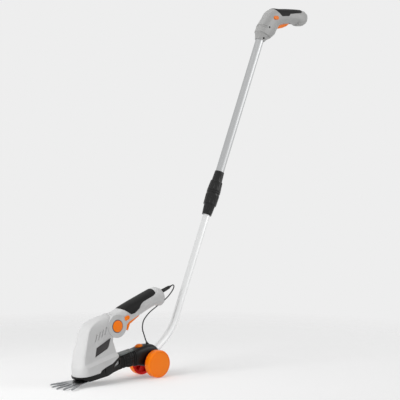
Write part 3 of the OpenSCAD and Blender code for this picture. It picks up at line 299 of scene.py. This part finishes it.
# %% A screen in each side wall
screen_vertices = []
screen_faces = []
for sign in (-1, 1):
    first = len(screen_vertices)
    for inward in (SCREEN_T, 0):
        screen_vertices += [in_head(x, sign * (screen_depth(z) - inward), z) for x, z in screen_outline]
    inner = list(range(first, first + outline_count))
    outer = list(range(first + outline_count, first + 2 * outline_count))
    walls = []
    for k in range(outline_count):
        after = (k + 1) % outline_count
        walls.append((inner[k], inner[after], outer[after], outer[k]))
    faces = [tuple(reversed(inner)), tuple(outer)] + walls
    screen_faces += faces if sign == -1 else [tuple(reversed(face)) for face in faces]
vent_screens = link_mesh("vent_screens", screen_vertices, screen_faces)
vent_screens.data.polygons.foreach_set("use_smooth", [False] * len(vent_screens.data.polygons))
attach(vent_screens, ROOT)
print("points in the screens:", len(screen_vertices))

# %% [markdown]
# ## Moulded ridges
# The neck of the upper handle has a raised collar and two short ridges, and the barrel of the trolley has a
# collar, ribs and two rings. In a mould they are shallow grooves. A boolean modifier could add them to the
# shells, but here each is a thin round bead of its own, half sunk in the surface. Rays from outside find
# where the surface lies, so a bead follows any form under it, and its ends dive below the surface.

# %% Beads that follow a surface
BEAD_STEPS = 48
BEAD_SIDES = 10
BEAD_DIVE = 0.12
RAY_START = 200 * MM
bpy.context.view_layer.update()


def surface_point(carriers, inside, outward):
    """Outermost point of some pieces, from a place inside them in one direction."""
    hits = [nodes[name].ray_cast(inside + outward * RAY_START, -outward) for name in carriers]
    return max((hit[1] for hit in hits if hit[0]), key=lambda point: (point - inside).dot(outward))


def bead(name, body, carriers, spots, diameter, side):
    """A thin bead over some pieces. Each spot is a place inside them and a direction outward."""
    last = len(spots) - 1
    path = []
    for k, (inside, outward) in enumerate(spots):
        from_end = min(k, last - k) / last
        depth = diameter * max(0, 1 - from_end / BEAD_DIVE)
        path.append(surface_point(carriers, inside, outward) - outward * depth)
    piece = tube(name, path, [diameter] * len(path), BEAD_SIDES, side)
    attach(piece, body)
    return piece


def between(start, stop):
    """Even steps from a start to a stop, one for each spot of a bead."""
    return [start + (stop - start) * k / BEAD_STEPS for k in range(BEAD_STEPS + 1)]


def spots_round(middle, axis, across, start_deg, stop_deg):
    """Spots round an axis, between two angles from the direction across."""
    third = axis.cross(across)
    angles = [math.radians(degrees) for degrees in between(start_deg, stop_deg)]
    return [(middle, across * math.cos(angle) + third * math.sin(angle)) for angle in angles]


def spots_along(foot, axis, outward, start_mm, stop_mm):
    """Spots along an axis, all in one direction outward."""
    return [(foot + axis * reach * MM, outward) for reach in between(start_mm, stop_mm)]


print("spots of a bead:", BEAD_STEPS + 1)

# %% Collar and ridges of the upper neck
POLE_RISE = 67.5
POLE_TOP = Vector((416, 0, 931.6)) * MM
NECK_BEAD_D = 2.2 * MM
# Name, place along the pole in millimetres, and the angles where the bead starts and stops.
NECK_RIDGES = [
    ("neck_collar", -16, 4, 356),
    ("neck_ridge_low", 1, 80, 280),
    ("neck_ridge_high", 6, 80, 280),
]
pole_axis = rising(POLE_RISE)
neck_across = rising(POLE_RISE - 90)
upper_shells = ["upper_handle_left", "upper_handle_right"]
neck_beads = []
for name, reach, start_deg, stop_deg in NECK_RIDGES:
    spots = spots_round(POLE_TOP + pole_axis * reach * MM, pole_axis, neck_across, start_deg, stop_deg)
    ridge = bead(name, "pole_body", upper_shells, spots, NECK_BEAD_D, pole_axis)
    neck_beads.append(ridge)
print("ridges on the neck:", len(neck_beads))

# %% Ribs and rings of the barrel
BARREL_RISE = 8
BARREL_MOUTH = Vector((-106, 0, 46)) * MM
BARREL_BEAD_D = 3.2 * MM
# Name of each ring and its place along the barrel in millimetres.
BARREL_RINGS = [("barrel_collar", 12), ("barrel_ring_front", 45), ("barrel_ring_rear", 50)]
RING_START_DEG, RING_STOP_DEG = 4, 356
RIB_ANGLES_DEG = (-22, 0, 22)
RIB_START_MM, RIB_STOP_MM = 16, 41
barrel_axis = rising(BARREL_RISE)
barrel_up = rising(BARREL_RISE + 90)
block_halves = ["trolley_left", "trolley_right"]
barrel_beads = []
for name, reach in BARREL_RINGS:
    middle = BARREL_MOUTH + barrel_axis * reach * MM
    spots = spots_round(middle, barrel_axis, barrel_up, RING_START_DEG, RING_STOP_DEG)
    ring = bead(name, ROOT, block_halves, spots, BARREL_BEAD_D, barrel_axis)
    barrel_beads.append(ring)
for sign, half in ((-1, "left"), (1, "right")):
    for number, degrees in enumerate(RIB_ANGLES_DEG):
        angle = math.radians(degrees)
        outward = ACROSS * sign * math.cos(angle) + barrel_up * math.sin(angle)
        spots = spots_along(BARREL_MOUTH, barrel_axis, outward, RIB_START_MM, RIB_STOP_MM)
        name = "barrel_rib_%s_%d" % (half, number)
        rib = bead(name, ROOT, block_halves, spots, BARREL_BEAD_D, barrel_up)
        barrel_beads.append(rib)
print("ribs and rings on the barrel:", len(barrel_beads))

# %% [markdown]
# ## Return springs
# Two coil springs push the release button and the lock button back. Each is wound from one steel wire. A
# screw modifier could wind it, but the tube function needs only the points of a helix. A solid spring can't
# get shorter; these wire springs take the place of the solid ones.

# %% Springs in place of the solid ones
WIRE_D_MM = 1.2
WIRE_SIDES = 8
STEPS_PER_TURN = 24


def coil_path(foot, along, across, radius, length, turns):
    """Points of a helix from its foot along an axis. The radius and the length are in millimetres."""
    third = along.cross(across)
    steps = STEPS_PER_TURN * turns
    path = []
    for k in range(steps + 1):
        angle = 2 * math.pi * k / STEPS_PER_TURN
        outward = across * math.cos(angle) + third * math.sin(angle)
        rise = WIRE_D_MM / 2 + (length - WIRE_D_MM) * k / steps
        path.append(foot + outward * radius * MM + along * rise * MM)
    return path


def return_spring(name, node, body, foot, along, across, radius, length, turns):
    """A wire spring that stands for a solid one."""
    path = coil_path(foot, along, across, radius, length, turns)
    spring = tube(name, path, [WIRE_D_MM * MM] * len(path), WIRE_SIDES)
    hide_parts(node)
    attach(spring, body)
    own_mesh(spring)
    return spring


print("wire of the springs in mm:", WIRE_D_MM)

# %% Springs of the release button and the lock button
RELEASE_RISE = 104
RELEASE_TOP = Vector((-35, 0, 80)) * MM
RELEASE_DEPTH = 16.9 * MM
HUB_DEPTH = 14.7 * MM
release_up = rising(RELEASE_RISE)
release_foot = RELEASE_TOP - release_up * RELEASE_DEPTH
release_coil = return_spring("release_coil", "release_spring", ROOT, release_foot,
                             release_up, ACROSS, radius=6, length=10.5, turns=4)
hub_foot = HUB + ACROSS * HUB_DEPTH
hub_coil = return_spring("hub_coil", "hub_spring", "handle_body", hub_foot,
                         -ACROSS, rising(0), radius=4.4, length=16.6, turns=5)
print("points in the springs:", len(release_coil.data.vertices) + len(hub_coil.data.vertices))

# %% [markdown]
# ## Finishes
# Every finish starts from what the real surface is: the material, and how its surface was made. Colours are
# written as on a screen and turned to linear light by one function. An image could hold a pattern, but it
# would have to be wrapped round each piece. These patterns are worked out from the place on the object, in
# millimetres, so the same grain runs over every piece.

# %% Helpers for the finishes
# Numbers of the colour sockets of a mix node, whose names repeat for each kind of data.
MIX_SHARE, MIX_LOW, MIX_HIGH, MIX_COLOUR = 0, 6, 7, 2


def linear(code):
    """A screen colour such as #d2d3d4, as linear light."""
    channels = [int(code[i:i + 2], 16) / 255 for i in (1, 3, 5)]
    return tuple(c / 12.92 if c <= 0.04045 else ((c + 0.055) / 1.055) ** 2.4 for c in channels) + (1.0,)


def add_node(tree, kind, settings=(), links=()):
    """A node with its settings and its incoming links. A socket is given by its name or its number."""
    node = tree.nodes.new(kind)
    for key, value in dict(settings).items():
        if isinstance(key, int) or key in node.inputs:
            node.inputs[key].default_value = value
        else:
            setattr(node, key, value)
    for key, source in dict(links).items():
        tree.links.new(source, node.inputs[key])
    return node


def new_finish(name):
    """An empty material: its tree, its shader and its position in the part's own space."""
    material = bpy.data.materials.new(name)
    material.use_nodes = True
    tree = material.node_tree
    shader = tree.nodes["Principled BSDF"]
    place = add_node(tree, "ShaderNodeTexCoord").outputs["Object"]
    return material, tree, shader, place


print("white as linear light:", linear("#ffffff"))

# %% [markdown]
# ### Moulded plastics
# The shells are ABS from a spark-eroded mould: a fine even grain that breaks the highlight into a soft
# sheen. The grain of the real mould is about 0.1 mm. It is drawn at 0.8 mm or more, the finest that still
# shows here. Real bumps would take millions of faces, so a bump node only tilts the light. A slow drift in
# colour and gloss, over about 40 mm, stands for handling.

# %% One recipe for grained plastic
DRIFT_MM = 40
NOISE_LOW, NOISE_HIGH = 0.3, 0.7
GLOSS_DOWN, GLOSS_UP = 0.04, 0.05


def grained_plastic(name, dark, light, roughness, grain_mm, depth_mm, ior=1.53, shine=0.5):
    """Moulded plastic with a spark-eroded grain and a slow drift of colour and gloss."""
    material, tree, shader, place = new_finish(name)
    drift = add_node(tree, "ShaderNodeTexNoise", {"Scale": 1 / (DRIFT_MM * MM), "Detail": 3.0},
                     {"Vector": place})
    share = add_node(tree, "ShaderNodeMapRange", {"From Min": NOISE_LOW, "From Max": NOISE_HIGH},
                     {"Value": drift.outputs["Fac"]})
    colour = add_node(tree, "ShaderNodeMix",
                      {"data_type": "RGBA", MIX_LOW: linear(dark), MIX_HIGH: linear(light)},
                      {MIX_SHARE: share.outputs["Result"]})
    gloss = add_node(tree, "ShaderNodeMapRange",
                     {"To Min": roughness - GLOSS_DOWN, "To Max": roughness + GLOSS_UP},
                     {"Value": share.outputs["Result"]})
    grain = add_node(tree, "ShaderNodeTexNoise", {"Scale": 1 / (grain_mm * MM), "Detail": 2.0},
                     {"Vector": place})
    bump = add_node(tree, "ShaderNodeBump", {"Strength": 0.5, "Distance": depth_mm * MM},
                    {"Height": grain.outputs["Fac"]})
    shader.inputs["IOR"].default_value = ior
    shader.inputs["Specular IOR Level"].default_value = shine
    tree.links.new(colour.outputs[MIX_COLOUR], shader.inputs["Base Color"])
    tree.links.new(gloss.outputs["Result"], shader.inputs["Roughness"])
    tree.links.new(bump.outputs["Normal"], shader.inputs["Normal"])
    return material


print("plastics drift over", DRIFT_MM, "mm")

# %% Plastics of the shells and buttons
# A pale shell: the fine grain spreads the light to a wide, soft sheen.
grey_abs = grained_plastic("moulded_abs_light_grey", "#bdbdbd", "#c3c3c3", roughness=0.42, grain_mm=0.8,
                           depth_mm=0.04)
# The same light grey plastic in a darker copy, as painted shade: the upper handle reads as a calm mid grey.
shaded_abs = grained_plastic("moulded_abs_light_grey_painted_shade", "#a8a8a7", "#aeaead", roughness=0.42, grain_mm=0.8,
                             depth_mm=0.04)
# A polished mould: a full, even orange with a small, gentle highlight.
orange_abs = grained_plastic("moulded_abs_orange", "#ff7d04", "#ff8408", roughness=0.34, grain_mm=0.9,
                             depth_mm=0.02, shine=0.22)
# Soft rubber swallows the light: a deep, dry black with no clear highlight.
soft_grip = grained_plastic("overmoulded_thermoplastic_rubber", "#0d0d0d", "#131313", roughness=0.55,
                            grain_mm=1.2, depth_mm=0.10, ior=1.5, shine=0.2)
# A smooth printed film: an even dark face that mirrors a little of the room.
panel_film = grained_plastic("screen_printed_film_black", "#242122", "#2b2829", roughness=0.3, grain_mm=1.6,
                             depth_mm=0.01, ior=1.5)
print("plastics of the shells ready")

# %% Plastics of the trolley, the clamp and the cord
# Glass-filled nylon: nearly black, and only the rounded edges catch some light.
black_nylon = grained_plastic("moulded_glass_filled_nylon_black", "#0a0909", "#100f0f", roughness=0.33,
                              grain_mm=0.9, depth_mm=0.04, shine=0.2)
# Plain nylon is smoother: a narrow line of light runs along the clamp.
clamp_nylon = grained_plastic("moulded_nylon_dark_grey", "#111111", "#171717", roughness=0.3, grain_mm=0.9,
                              depth_mm=0.03, shine=0.32)
# A dull dark grey, so that the seal and the collet sink back behind the parts round them. On the seal this
# grey is painted shade, for the shadow of the gap round the button.
grey_nylon = grained_plastic("moulded_glass_filled_nylon_grey", "#4b4f50", "#55595a", roughness=0.45,
                             grain_mm=0.9, depth_mm=0.05)
# A dull mid grey, partly the plate's own grey and partly painted highlight for the light on its top: the
# plate stands out from the black barrel below it.
latch_nylon = grained_plastic("moulded_nylon_mid_grey", "#6c7170", "#767b7a", roughness=0.45, grain_mm=0.9,
                              depth_mm=0.03)
# An extruded skin: smooth and black, with a thin line of light along the cord.
cord_pvc = grained_plastic("extruded_pvc_black", "#1e1e20", "#272729", roughness=0.42, grain_mm=1.4,
                           depth_mm=0.02, ior=1.54)
# Soft PVC from a dull mould: a plain black block at the end of the cord.
plug_pvc = grained_plastic("moulded_soft_pvc_black", "#0a0a0a", "#101010", roughness=0.4, grain_mm=0.9,
                           depth_mm=0.03, ior=1.54, shine=0.25)
# Shrunk film: a smooth blue skin with small, clear highlights.
cell_wrap = grained_plastic("shrink_wrap_blue", "#2f5f8c", "#386c9c", roughness=0.35, grain_mm=2.0,
                            depth_mm=0.01)
print("plastics of the trolley ready")

# %% [markdown]
# ### Orange and red wheels
# Each wheel is orange on the tread, and the web with its ribs and the inner edge, which face the block,
# are a deep red. Two materials on chosen faces could show that, but the border cuts across faces. It is a
# plane square to the axle and a cylinder inside the rim, so two distances choose the colour: the one from
# the middle plane and the one from the axle.

# %% Wheel plastic in two colours
BORDER_SOFT_MM = 0.1


def orange_and_red_plastic(name, outer, inner, border_mm, axle_place, tread_mm):
    """Orange plastic on the tread and beside it, red plastic on the inner side and inside the rim."""
    material = grained_plastic(name, outer, outer, roughness=0.36, grain_mm=0.9, depth_mm=0.02, shine=0.22)
    tree = material.node_tree
    shader = tree.nodes["Principled BSDF"]
    outer_colour = shader.inputs["Base Color"].links[0].from_socket
    place = add_node(tree, "ShaderNodeTexCoord").outputs["Object"]
    apart = add_node(tree, "ShaderNodeSeparateXYZ", {}, {"Vector": place})
    offset = add_node(tree, "ShaderNodeMath", {"operation": "ABSOLUTE"}, {0: apart.outputs["Y"]})
    beside = add_node(tree, "ShaderNodeMapRange",
                      {"From Min": (border_mm - BORDER_SOFT_MM) * MM,
                       "From Max": (border_mm + BORDER_SOFT_MM) * MM},
                      {"Value": offset.outputs["Value"]})
    in_disc = add_node(tree, "ShaderNodeCombineXYZ", {}, {"X": apart.outputs["X"], "Z": apart.outputs["Z"]})
    from_axle = add_node(tree, "ShaderNodeVectorMath",
                         {"operation": "DISTANCE", 1: (axle_place.x, 0, axle_place.z)},
                         {0: in_disc.outputs["Vector"]})
    on_tread = add_node(tree, "ShaderNodeMapRange",
                        {"From Min": (tread_mm - BORDER_SOFT_MM) * MM,
                         "From Max": (tread_mm + BORDER_SOFT_MM) * MM},
                        {"Value": from_axle.outputs["Value"]})
    both = add_node(tree, "ShaderNodeMath", {"operation": "MULTIPLY"},
                    {0: beside.outputs["Result"], 1: on_tread.outputs["Result"]})
    colour = add_node(tree, "ShaderNodeMix", {"data_type": "RGBA", MIX_LOW: linear(inner)},
                      {MIX_SHARE: both.outputs["Value"], MIX_HIGH: outer_colour})
    tree.links.new(colour.outputs[MIX_COLOUR], shader.inputs["Base Color"])
    return material


wheel_low, wheel_high = (Vector(corner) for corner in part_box("wheel_left"))
axle_place = (wheel_low + wheel_high) / 2
# A bright tread and a deep red web: the far wheel shows the red, the near one the orange.
wheel_abs = orange_and_red_plastic("abs_orange_and_red", "#ff8006", "#ea0a05", border_mm=26.5,
                             axle_place=axle_place, tread_mm=30)
print("wheel plastic ready")

# %% [markdown]
# ### Metals
# The pole is drawn aluminium: the die leaves faint lines along the tube. The blades are ground steel, with
# lines along the teeth. An anisotropic shader could stretch the highlights, but it needs a direction at
# every point. Here the lines are stretched noise: long in one direction, narrow in the other. They are
# drawn about ten times as wide as they are, to show at all. They follow the object's own axes: on the tube
# they run straight up, which is near enough for lines as faint as these.

# %% One recipe for lined metal
METAL_DRIFT = 0.06


def lined_metal(name, dark, light, roughness, turn_deg, stretch_mm, depth_mm, drift=METAL_DRIFT):
    """Bare metal with fine lines along the object's axis whose stretch is longest.

    The turn comes after the stretch, so it moves the noise about and leaves the lines' direction.
    """
    material, tree, shader, place = new_finish(name)
    turned = add_node(tree, "ShaderNodeMapping",
                      {"Rotation": (0, math.radians(turn_deg), 0),
                       "Scale": tuple(1 / (stretch * MM) for stretch in stretch_mm)}, {"Vector": place})
    lines = add_node(tree, "ShaderNodeTexNoise", {"Scale": 1.0, "Detail": 4.0},
                     {"Vector": turned.outputs["Vector"]})
    share = add_node(tree, "ShaderNodeMapRange", {"From Min": NOISE_LOW, "From Max": NOISE_HIGH},
                     {"Value": lines.outputs["Fac"]})
    colour = add_node(tree, "ShaderNodeMix",
                      {"data_type": "RGBA", MIX_LOW: linear(dark), MIX_HIGH: linear(light)},
                      {MIX_SHARE: share.outputs["Result"]})
    gloss = add_node(tree, "ShaderNodeMapRange",
                     {"To Min": roughness - drift, "To Max": roughness + drift},
                     {"Value": share.outputs["Result"]})
    bump = add_node(tree, "ShaderNodeBump", {"Strength": 0.4, "Distance": depth_mm * MM},
                    {"Height": lines.outputs["Fac"]})
    shader.inputs["Metallic"].default_value = 1.0
    tree.links.new(colour.outputs[MIX_COLOUR], shader.inputs["Base Color"])
    tree.links.new(gloss.outputs["Result"], shader.inputs["Roughness"])
    tree.links.new(bump.outputs["Normal"], shader.inputs["Normal"])
    return material


print("roughness of a metal drifts by", METAL_DRIFT)

# %% Metals of the pole, the blades and the drive
POLE_TURN = POLE_RISE - 90
UPRIGHT = (2, 2, 160)
EVEN = (3, 3, 3)
# Bright drawn tube mirrors the pale room, so it almost melts into the background.
bright_tube = lined_metal("drawn_aluminium_bright", "#e8e9e9", "#eeeeee", roughness=0.45,
                          turn_deg=POLE_TURN, stretch_mm=UPRIGHT, depth_mm=0.002, drift=0.015)
# A rougher aluminium scatters the mirror: a soft grey tube with one wide pale stripe. Its darker grey is
# painted shade, for the dim reflections along the tube.
satin_tube = lined_metal("satin_aluminium_painted_shade", "#bbbcbd", "#c0c1c1", roughness=0.5,
                         turn_deg=POLE_TURN, stretch_mm=UPRIGHT, depth_mm=0.002, drift=0.015)
# Grinding lines break the mirror into short streaks, so the teeth glint one by one.
blade_metal = lined_metal("ground_blade_steel", "#8c8e90", "#acaeb0", roughness=0.32, turn_deg=HEAD_RISE,
                          stretch_mm=(20, 0.8, 4), depth_mm=0.02)
# Painted shade: the screw heads are dark and dull, for the shade in the holes they sit in.
screw_steel_painted_shade = lined_metal("screw_heads_painted_shade", "#0b0b0b", "#121212", roughness=0.6, turn_deg=0,
                              stretch_mm=EVEN, depth_mm=0.01)
# A zinc skin: pale, cool and half matt.
plated_steel = lined_metal("zinc_plated_steel", "#a8aaac", "#bcbec0", roughness=0.35, turn_deg=0,
                           stretch_mm=EVEN, depth_mm=0.01)
# A drawn, plated can: a grey mirror with faint lines along it.
motor_steel = lined_metal("plated_motor_can", "#8e9194", "#a2a5a8", roughness=0.35, turn_deg=HEAD_RISE,
                          stretch_mm=(2, 2, 40), depth_mm=0.01)
print("metals ready")

# %% Give each solid its finish
finishes = [
    (grey_abs, "body_left body_right handle_left handle_right"),
    (shaded_abs, "upper_handle_left upper_handle_right"),
    (orange_abs, "wheel_cap_left wheel_cap_right release_button hub_button tool_trigger tool_lock_off "
                 "upper_trigger upper_lock_off"),
    (wheel_abs, "wheel_left wheel_right"),
    (black_nylon, "trolley_left trolley_right trolley_arm foot tube_bush cord_gland "
                  "charge_socket tool_switch upper_switch"),
    (clamp_nylon, "clamp_nut clamp_sleeve"),
    (latch_nylon, "latch_plate"),
    (grey_nylon, "clamp_collet"),
    (soft_grip, "handle_grip upper_grip"),
    (panel_film, "side_panels"),
    (cord_pvc, "cord"),
    (plug_pvc, "cord_plug"),
    (bright_tube, "lower_tube"),
    (satin_tube, "upper_tube"),
    (blade_metal, "fixed_blade moving_blade"),
    (screw_steel_painted_shade, "body_screws handle_screws upper_screws trolley_screws"),
    (plated_steel, "axle axle_clips blade_pivot blade_screws release_spring hub_spring pivot_sleeve "
                   "crank_gear motor_pinion gear_plate"),
    (motor_steel, "motor"),
    (cell_wrap, "battery_cells"),
]
for material, names in finishes:
    for name in names.split():
        nodes[name].data.materials.clear()
        nodes[name].data.materials.append(material)
print("solids with a finish:", sum(len(names.split()) for material, names in finishes))

# %% Give each new piece its finish
new_pieces = [
    (cord_pvc, [cord]),
    (plug_pvc, [plug_boot]),
    (grey_nylon, [seal_and_shade_ring]),
    (grey_abs, [vent_screens]),
    (shaded_abs, neck_beads),
    (black_nylon, barrel_beads),
    (plated_steel, [release_coil, hub_coil]),
]
for material, pieces in new_pieces:
    for piece in pieces:
        piece.data.materials.append(material)
print("new pieces with a finish:", sum(len(pieces) for material, pieces in new_pieces))

# %% [markdown]
# ## Softer edges
# No moulded or stamped edge is sharp. The solids come in as separate facets, so they are welded first, then
# their sharp edges get a small round, and the faces between are shaded smooth. All three are modifiers: the
# solids themselves stay as they are.

# %% Shading that keeps sharp edges
SHARP_DEG = 38
CRISP_DEG = 21


def smooth_by_angle(limit_deg):
    """A geometry group that shades smooth, except over edges steeper than the limit."""
    group = bpy.data.node_groups.new("smooth_by_angle", "GeometryNodeTree")
    group.interface.new_socket("Geometry", in_out="INPUT", socket_type="NodeSocketGeometry")
    group.interface.new_socket("Geometry", in_out="OUTPUT", socket_type="NodeSocketGeometry")
    start = add_node(group, "NodeGroupInput")
    angle = add_node(group, "GeometryNodeInputMeshEdgeAngle")
    gentle = add_node(group, "FunctionNodeCompare",
                      {"operation": "LESS_THAN", "B": math.radians(limit_deg)},
                      {"A": angle.outputs["Unsigned Angle"]})
    faces = add_node(group, "GeometryNodeSetShadeSmooth", {"domain": "FACE"},
                     {"Geometry": start.outputs["Geometry"]})
    edges = add_node(group, "GeometryNodeSetShadeSmooth", {"domain": "EDGE"},
                     {"Geometry": faces.outputs["Geometry"], "Shade Smooth": gentle.outputs["Result"]})
    add_node(group, "NodeGroupOutput", {}, {"Geometry": edges.outputs["Geometry"]})
    return group


smooth_group = smooth_by_angle(SHARP_DEG)
crisp_group = smooth_by_angle(CRISP_DEG)
crisp_pieces = ["body_left", "body_right"]
print("pieces with crisp edges:", len(crisp_pieces))

# %% Welded, rounded and smooth
WELD_MM = 0.002
BOOT_ROUND_MM = 0.3


def soften(piece, round_mm):
    """Weld a piece, round its sharp edges and shade it smooth."""
    weld = piece.modifiers.new("weld", "WELD")
    weld.merge_threshold = WELD_MM * MM
    if round_mm > 0:
        bevel = piece.modifiers.new("edge_round", "BEVEL")
        bevel.width = round_mm * MM
        bevel.segments = 2
        bevel.limit_method = "ANGLE"
        bevel.angle_limit = math.radians(SHARP_DEG)
    smooth = piece.modifiers.new("smooth", "NODES")
    smooth.node_group = crisp_group if piece.name in crisp_pieces else smooth_group


edge_rounds_mm = {
    1.2: "hub_button",
    0.6: "wheel_cap_left wheel_cap_right clamp_nut clamp_sleeve trolley_arm foot latch_plate",
    0.5: "tool_lock_off upper_lock_off tool_trigger upper_trigger side_panels",
    0.15: "fixed_blade moving_blade",
}
rounded = {name: width for width, names in edge_rounds_mm.items() for name in names.split()}
for name, piece in nodes.items():
    soften(piece, rounded.get(name, 0))
soften(plug_boot, BOOT_ROUND_MM)
print("solids with rounded edges:", len(rounded))

# %% [markdown]
# ## The studio
# The photograph has a pale seamless floor and soft light from the front left. A curved backdrop could hide
# the horizon, but it would stand in the way of other views. Here a round floor fades out at its rim, and the
# background behind it is a plain light grey that only the camera, mirror reflections and clear surfaces see.

# %% Floor that fades at its rim
FLOOR_R = 2.6
FLOOR_SIDES = 96
FLOOR_DROP = 0.8 * MM
FADE_START, FADE_STOP = 0.5, 1.5
floor_angles = [2 * math.pi * k / FLOOR_SIDES for k in range(FLOOR_SIDES)]
floor_rim = [(FLOOR_R * math.cos(angle), FLOOR_R * math.sin(angle), 0) for angle in floor_angles]
floor = link_mesh("studio_floor", floor_rim, [tuple(range(FLOOR_SIDES))])
floor.location.z = -FLOOR_DROP
# Matt paper with a faint glow of its own: an even, pale ground on which soft shadows still show.
floor_material, floor_tree, floor_shader, floor_place = new_finish("studio_floor_paper")
floor_shader.inputs["Base Color"].default_value = linear("#cfcfcf")
floor_shader.inputs["Emission Color"].default_value = linear("#ffffff")
floor_shader.inputs["Emission Strength"].default_value = 0.27
floor_shader.inputs["Roughness"].default_value = 0.9
distance = add_node(floor_tree, "ShaderNodeVectorMath", {"operation": "LENGTH"}, {0: floor_place})
fade = add_node(floor_tree, "ShaderNodeMapRange", {"From Min": FADE_START, "From Max": FADE_STOP},
                {"Value": distance.outputs["Value"]})
clear = add_node(floor_tree, "ShaderNodeBsdfTransparent")
floor_mix = add_node(floor_tree, "ShaderNodeMixShader", {},
                     {0: fade.outputs["Result"], 1: floor_shader.outputs["BSDF"], 2: clear.outputs["BSDF"]})
floor_tree.links.new(floor_mix.outputs["Shader"], floor_tree.nodes["Material Output"].inputs["Surface"])
floor.data.materials.append(floor_material)
print("floor radius in m:", FLOOR_R)

# %% Pale background
world = bpy.data.worlds.new("studio_world")
world.use_nodes = True
bpy.context.scene.world = world
world_tree = world.node_tree
world_tree.nodes.clear()
rays = add_node(world_tree, "ShaderNodeLightPath")
seen = add_node(world_tree, "ShaderNodeMath", {"operation": "MAXIMUM"},
                {0: rays.outputs["Is Camera Ray"], 1: rays.outputs["Is Glossy Ray"]})
shown = add_node(world_tree, "ShaderNodeMath", {"operation": "MAXIMUM"},
                 {0: seen.outputs["Value"], 1: rays.outputs["Is Transmission Ray"]})
light_sky = add_node(world_tree, "ShaderNodeBackground", {"Color": linear("#ffffff"), "Strength": 0.40})
shown_sky = add_node(world_tree, "ShaderNodeBackground", {"Color": linear("#eeeeee"), "Strength": 1.0})
sky_mix = add_node(world_tree, "ShaderNodeMixShader", {},
                   {0: shown.outputs["Value"], 1: light_sky.outputs["Background"],
                    2: shown_sky.outputs["Background"]})
add_node(world_tree, "ShaderNodeOutputWorld", {}, {"Surface": sky_mix.outputs["Shader"]})
bpy.context.scene.view_settings.view_transform = "Standard"
print("background ready")


# %% Soft boxes
def soft_box(name, place, target, size, power, spread_deg=180, mirrored=True):
    """A square area lamp that faces a point. A narrow spread keeps its light near that point."""
    lamp = bpy.data.lights.new(name, "AREA")
    lamp.size = size
    lamp.energy = power
    lamp.spread = math.radians(spread_deg)
    holder = bpy.data.objects.new(name, lamp)
    holder.location = place
    holder.visible_glossy = mirrored
    holder.rotation_euler = (Vector(target) - Vector(place)).to_track_quat("-Z", "Y").to_euler()
    bpy.context.scene.collection.objects.link(holder)
    return holder


TOOL_MIDDLE = (-0.15, 0.0, 0.12)
UPPER_MIDDLE = (0.5, 0.0, 0.95)
lamps = [
    soft_box("key_light", (-2.1, 0.05, 1.15), TOOL_MIDDLE, size=1.3, power=9.3, spread_deg=75,
             mirrored=False),
    soft_box("fill_light", (1.7, -1.8, 1.4), UPPER_MIDDLE, size=1.2, power=17),
    soft_box("top_light", (0.1, 0.2, 2.8), TOOL_MIDDLE, size=1.8, power=12),
]
print("lamps:", len(lamps))
